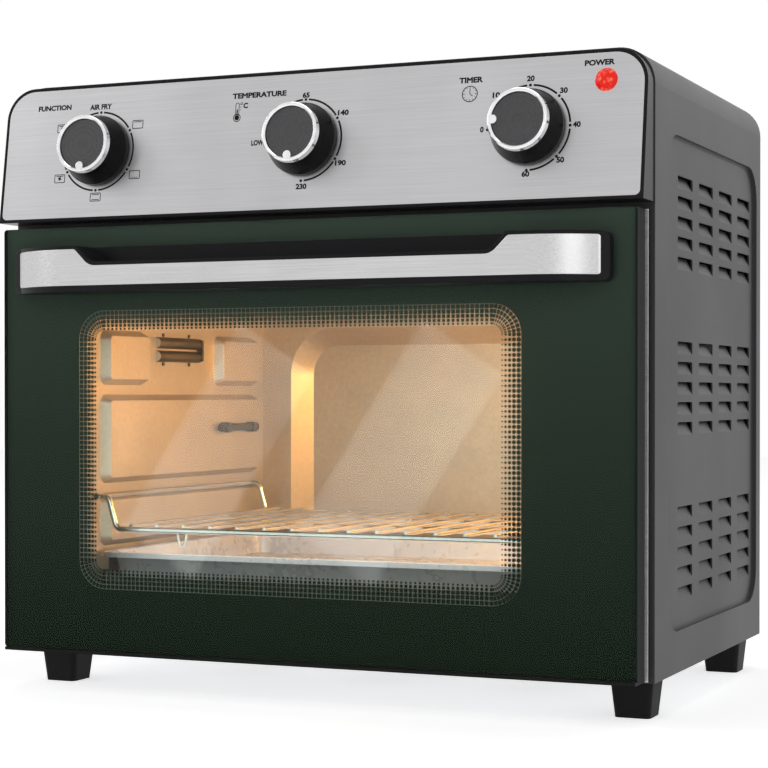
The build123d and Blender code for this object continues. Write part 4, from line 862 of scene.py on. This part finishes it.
rubberLook = {
    "dark": (0.008, 0.008, 0.008), "light": (0.015, 0.015, 0.015), "grain": 1400.0, "rough": (0.5, 0.68),
    "bump": 0.25, "edge": 0.7, "Specular IOR Level": 0.12,
}
dress(makeFinish("footRubber", rubberLook), "foot_front_left", "foot_front_right", "foot_rear_left",
      "foot_rear_right")
print("cavity and feet done")


# stage, light and camera
def seenDirectly(tree):
    # camera, mirror and see-through rays
    path = addNode(tree, "ShaderNodeLightPath").outputs
    some = addNode(tree, "ShaderNodeMath", {
        0: path["Is Camera Ray"], 1: path["Is Glossy Ray"],
    }, operation="MAXIMUM")
    more = addNode(tree, "ShaderNodeMath", {
        0: some.outputs[0], 1: path["Is Transmission Ray"],
    }, operation="MAXIMUM")
    return more.outputs[0]


stage = {
    "size": 9.0, "floorColor": (0.86, 0.86, 0.87), "floorPaler": (0.88, 0.88, 0.89), "floorGrain": 60.0,
    "floorGlow": 0.6, "worldLight": 0.4,
}
floorMesh = bpy.data.meshes.new("floor")
half = stage["size"] / 2
corners = [(-half, -half, 0), (half, -half, 0), (half, half, 0), (-half, half, 0)]
floorMesh.from_pydata(corners, [], [(0, 1, 2, 3)])
floor = bpy.data.objects.new("floor", floorMesh)
bpy.context.scene.collection.objects.link(floor)
floorMaterial, floorTree, floorShader = newMaterial("palePaper")
floorTree.nodes.remove(floorShader)
fibreStops = [(0.3, stage["floorColor"]), (0.7, stage["floorPaler"])]
fibre = ramp(floorTree, noiseField(floorTree, stage["floorGrain"]), fibreStops)
paper = addNode(floorTree, "ShaderNodeBsdfDiffuse", {"Color": fibre})
share = addNode(floorTree, "ShaderNodeMath", {
    0: seenDirectly(floorTree), 1: stage["floorGlow"],
}, operation="MULTIPLY")
glow = addNode(floorTree, "ShaderNodeEmission", {"Color": (1, 1, 1, 1), "Strength": share.outputs[0]})
finishSurface(floorTree, addNode(floorTree, "ShaderNodeAddShader", {0: paper.outputs[0], 1: glow.outputs[0]}))
floorMesh.materials.append(floorMaterial)

world = bpy.data.worlds.new("studio")
bpy.context.scene.world = world
world.use_nodes = True
sky = world.node_tree
dim = addNode(sky, "ShaderNodeBackground", {"Color": (1, 1, 1, 1), "Strength": stage["worldLight"]})
bright = addNode(sky, "ShaderNodeBackground", {"Color": (1, 1, 1, 1), "Strength": 1.0})
finishSurface(sky, mixShaders(sky, seenDirectly(sky), dim, bright), "World Output")


def addAreaLight(name, place, target, size, power, color=(1, 1, 1), roll=0.0):
    light = bpy.data.lights.new(name, "AREA")
    light.shape = "RECTANGLE"
    light.size, light.size_y = size
    light.energy = power
    light.color = color
    lamp = bpy.data.objects.new(name, light)
    lamp.location = place
    aim = (Vector(target) - Vector(place)).to_track_quat("-Z", "Y")
    lamp.rotation_euler = (aim.to_matrix() @ Matrix.Rotation(roll, 3, "Z")).to_euler()
    bpy.context.scene.collection.objects.link(lamp)
    return lamp


middle = (0, 0, 0.17)
lamps = {
    # name: place, size, power
    "keyLight": ((-2.4, -1.2, 1.5), (1.4, 1.4), 14),
    "rightFill": ((1.5, -2.0, 0.9), (1.0, 1.0), 4.5),
    "backFill": ((1.4, 2.2, 1.3), (1.2, 1.2), 4),
    "topLight": ((0.0, 0.3, 2.0), (1.6, 1.2), 6),
}
for name, (place, size, power) in lamps.items():
    addAreaLight(name, place, middle, size, power)

# tall leaning panels in front of the door, seen only as soft bands in the glass
bands = {
    "distance": -0.6, "lean": math.radians(33), "size": (0.08, 0.205), "power": 0.32, "height": 0.128,
    "places": (-0.305, -0.14),
}
paneOnly = bpy.data.collections.new("paneOnly")
paneOnly.objects.link(nodes["door_glass"])
for index, x in enumerate(bands["places"]):
    place, target = (x, bands["distance"], bands["height"]), (x, 0.0, bands["height"])
    card = addAreaLight("band%d" % index, place, target, bands["size"], bands["power"], roll=-bands["lean"])
    card.visible_camera = False
    card.visible_diffuse = False
    card.light_linking.receiver_collection = paneOnly

lampLow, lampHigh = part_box("cavity_lamp_cover")
cavityGlow = {"gap": 8 * mm, "power": 1.25, "color": (1.0, 0.47, 0.12), "radius": 0.011}
ovenLamp = bpy.data.lights.new("ovenLamp", "POINT")
ovenLamp.energy = cavityGlow["power"]
ovenLamp.color = cavityGlow["color"]
ovenLamp.shadow_soft_size = cavityGlow["radius"]
ovenLampHolder = bpy.data.objects.new("ovenLamp", ovenLamp)
ovenLampHolder.location = (lampLow + lampHigh) / 2
ovenLampHolder.location.x = lampLow.x - cavityGlow["gap"]
bpy.context.scene.collection.objects.link(ovenLampHolder)

# a weak warm wash from behind the door, for the light that comes back off the pane
washLight = {
    "behindDoor": -3 * mm, "height": 0.15, "target": (0.0, 0.1, 0.13), "size": (0.24, 0.1), "power": 0.4,
    "color": (1.0, 0.86, 0.78),
}
washPlace = (0.0, frontFlange + washLight["behindDoor"], washLight["height"])
wash = addAreaLight("cavityWash", washPlace, washLight["target"], washLight["size"], washLight["power"],
                    washLight["color"])
wash.visible_camera = False
wash.visible_glossy = False

view = {"place": (0.49304, -1.15030, 0.17629), "turn": (89.48, 0.0, 23.36), "lens": 94.56, "rise": 0.0372}
cameraData = bpy.data.cameras.new("camera")
cameraData.lens = view["lens"]
cameraData.sensor_width = 36.0
cameraData.shift_y = view["rise"]
cameraData.clip_start = 0.01
camera = bpy.data.objects.new("camera", cameraData)
camera.location = view["place"]
camera.rotation_euler = [math.radians(angle) for angle in view["turn"]]
bpy.context.scene.collection.objects.link(camera)
bpy.context.scene.camera = camera
bpy.context.scene.view_settings.view_transform = "Standard"
print("stage and camera set")
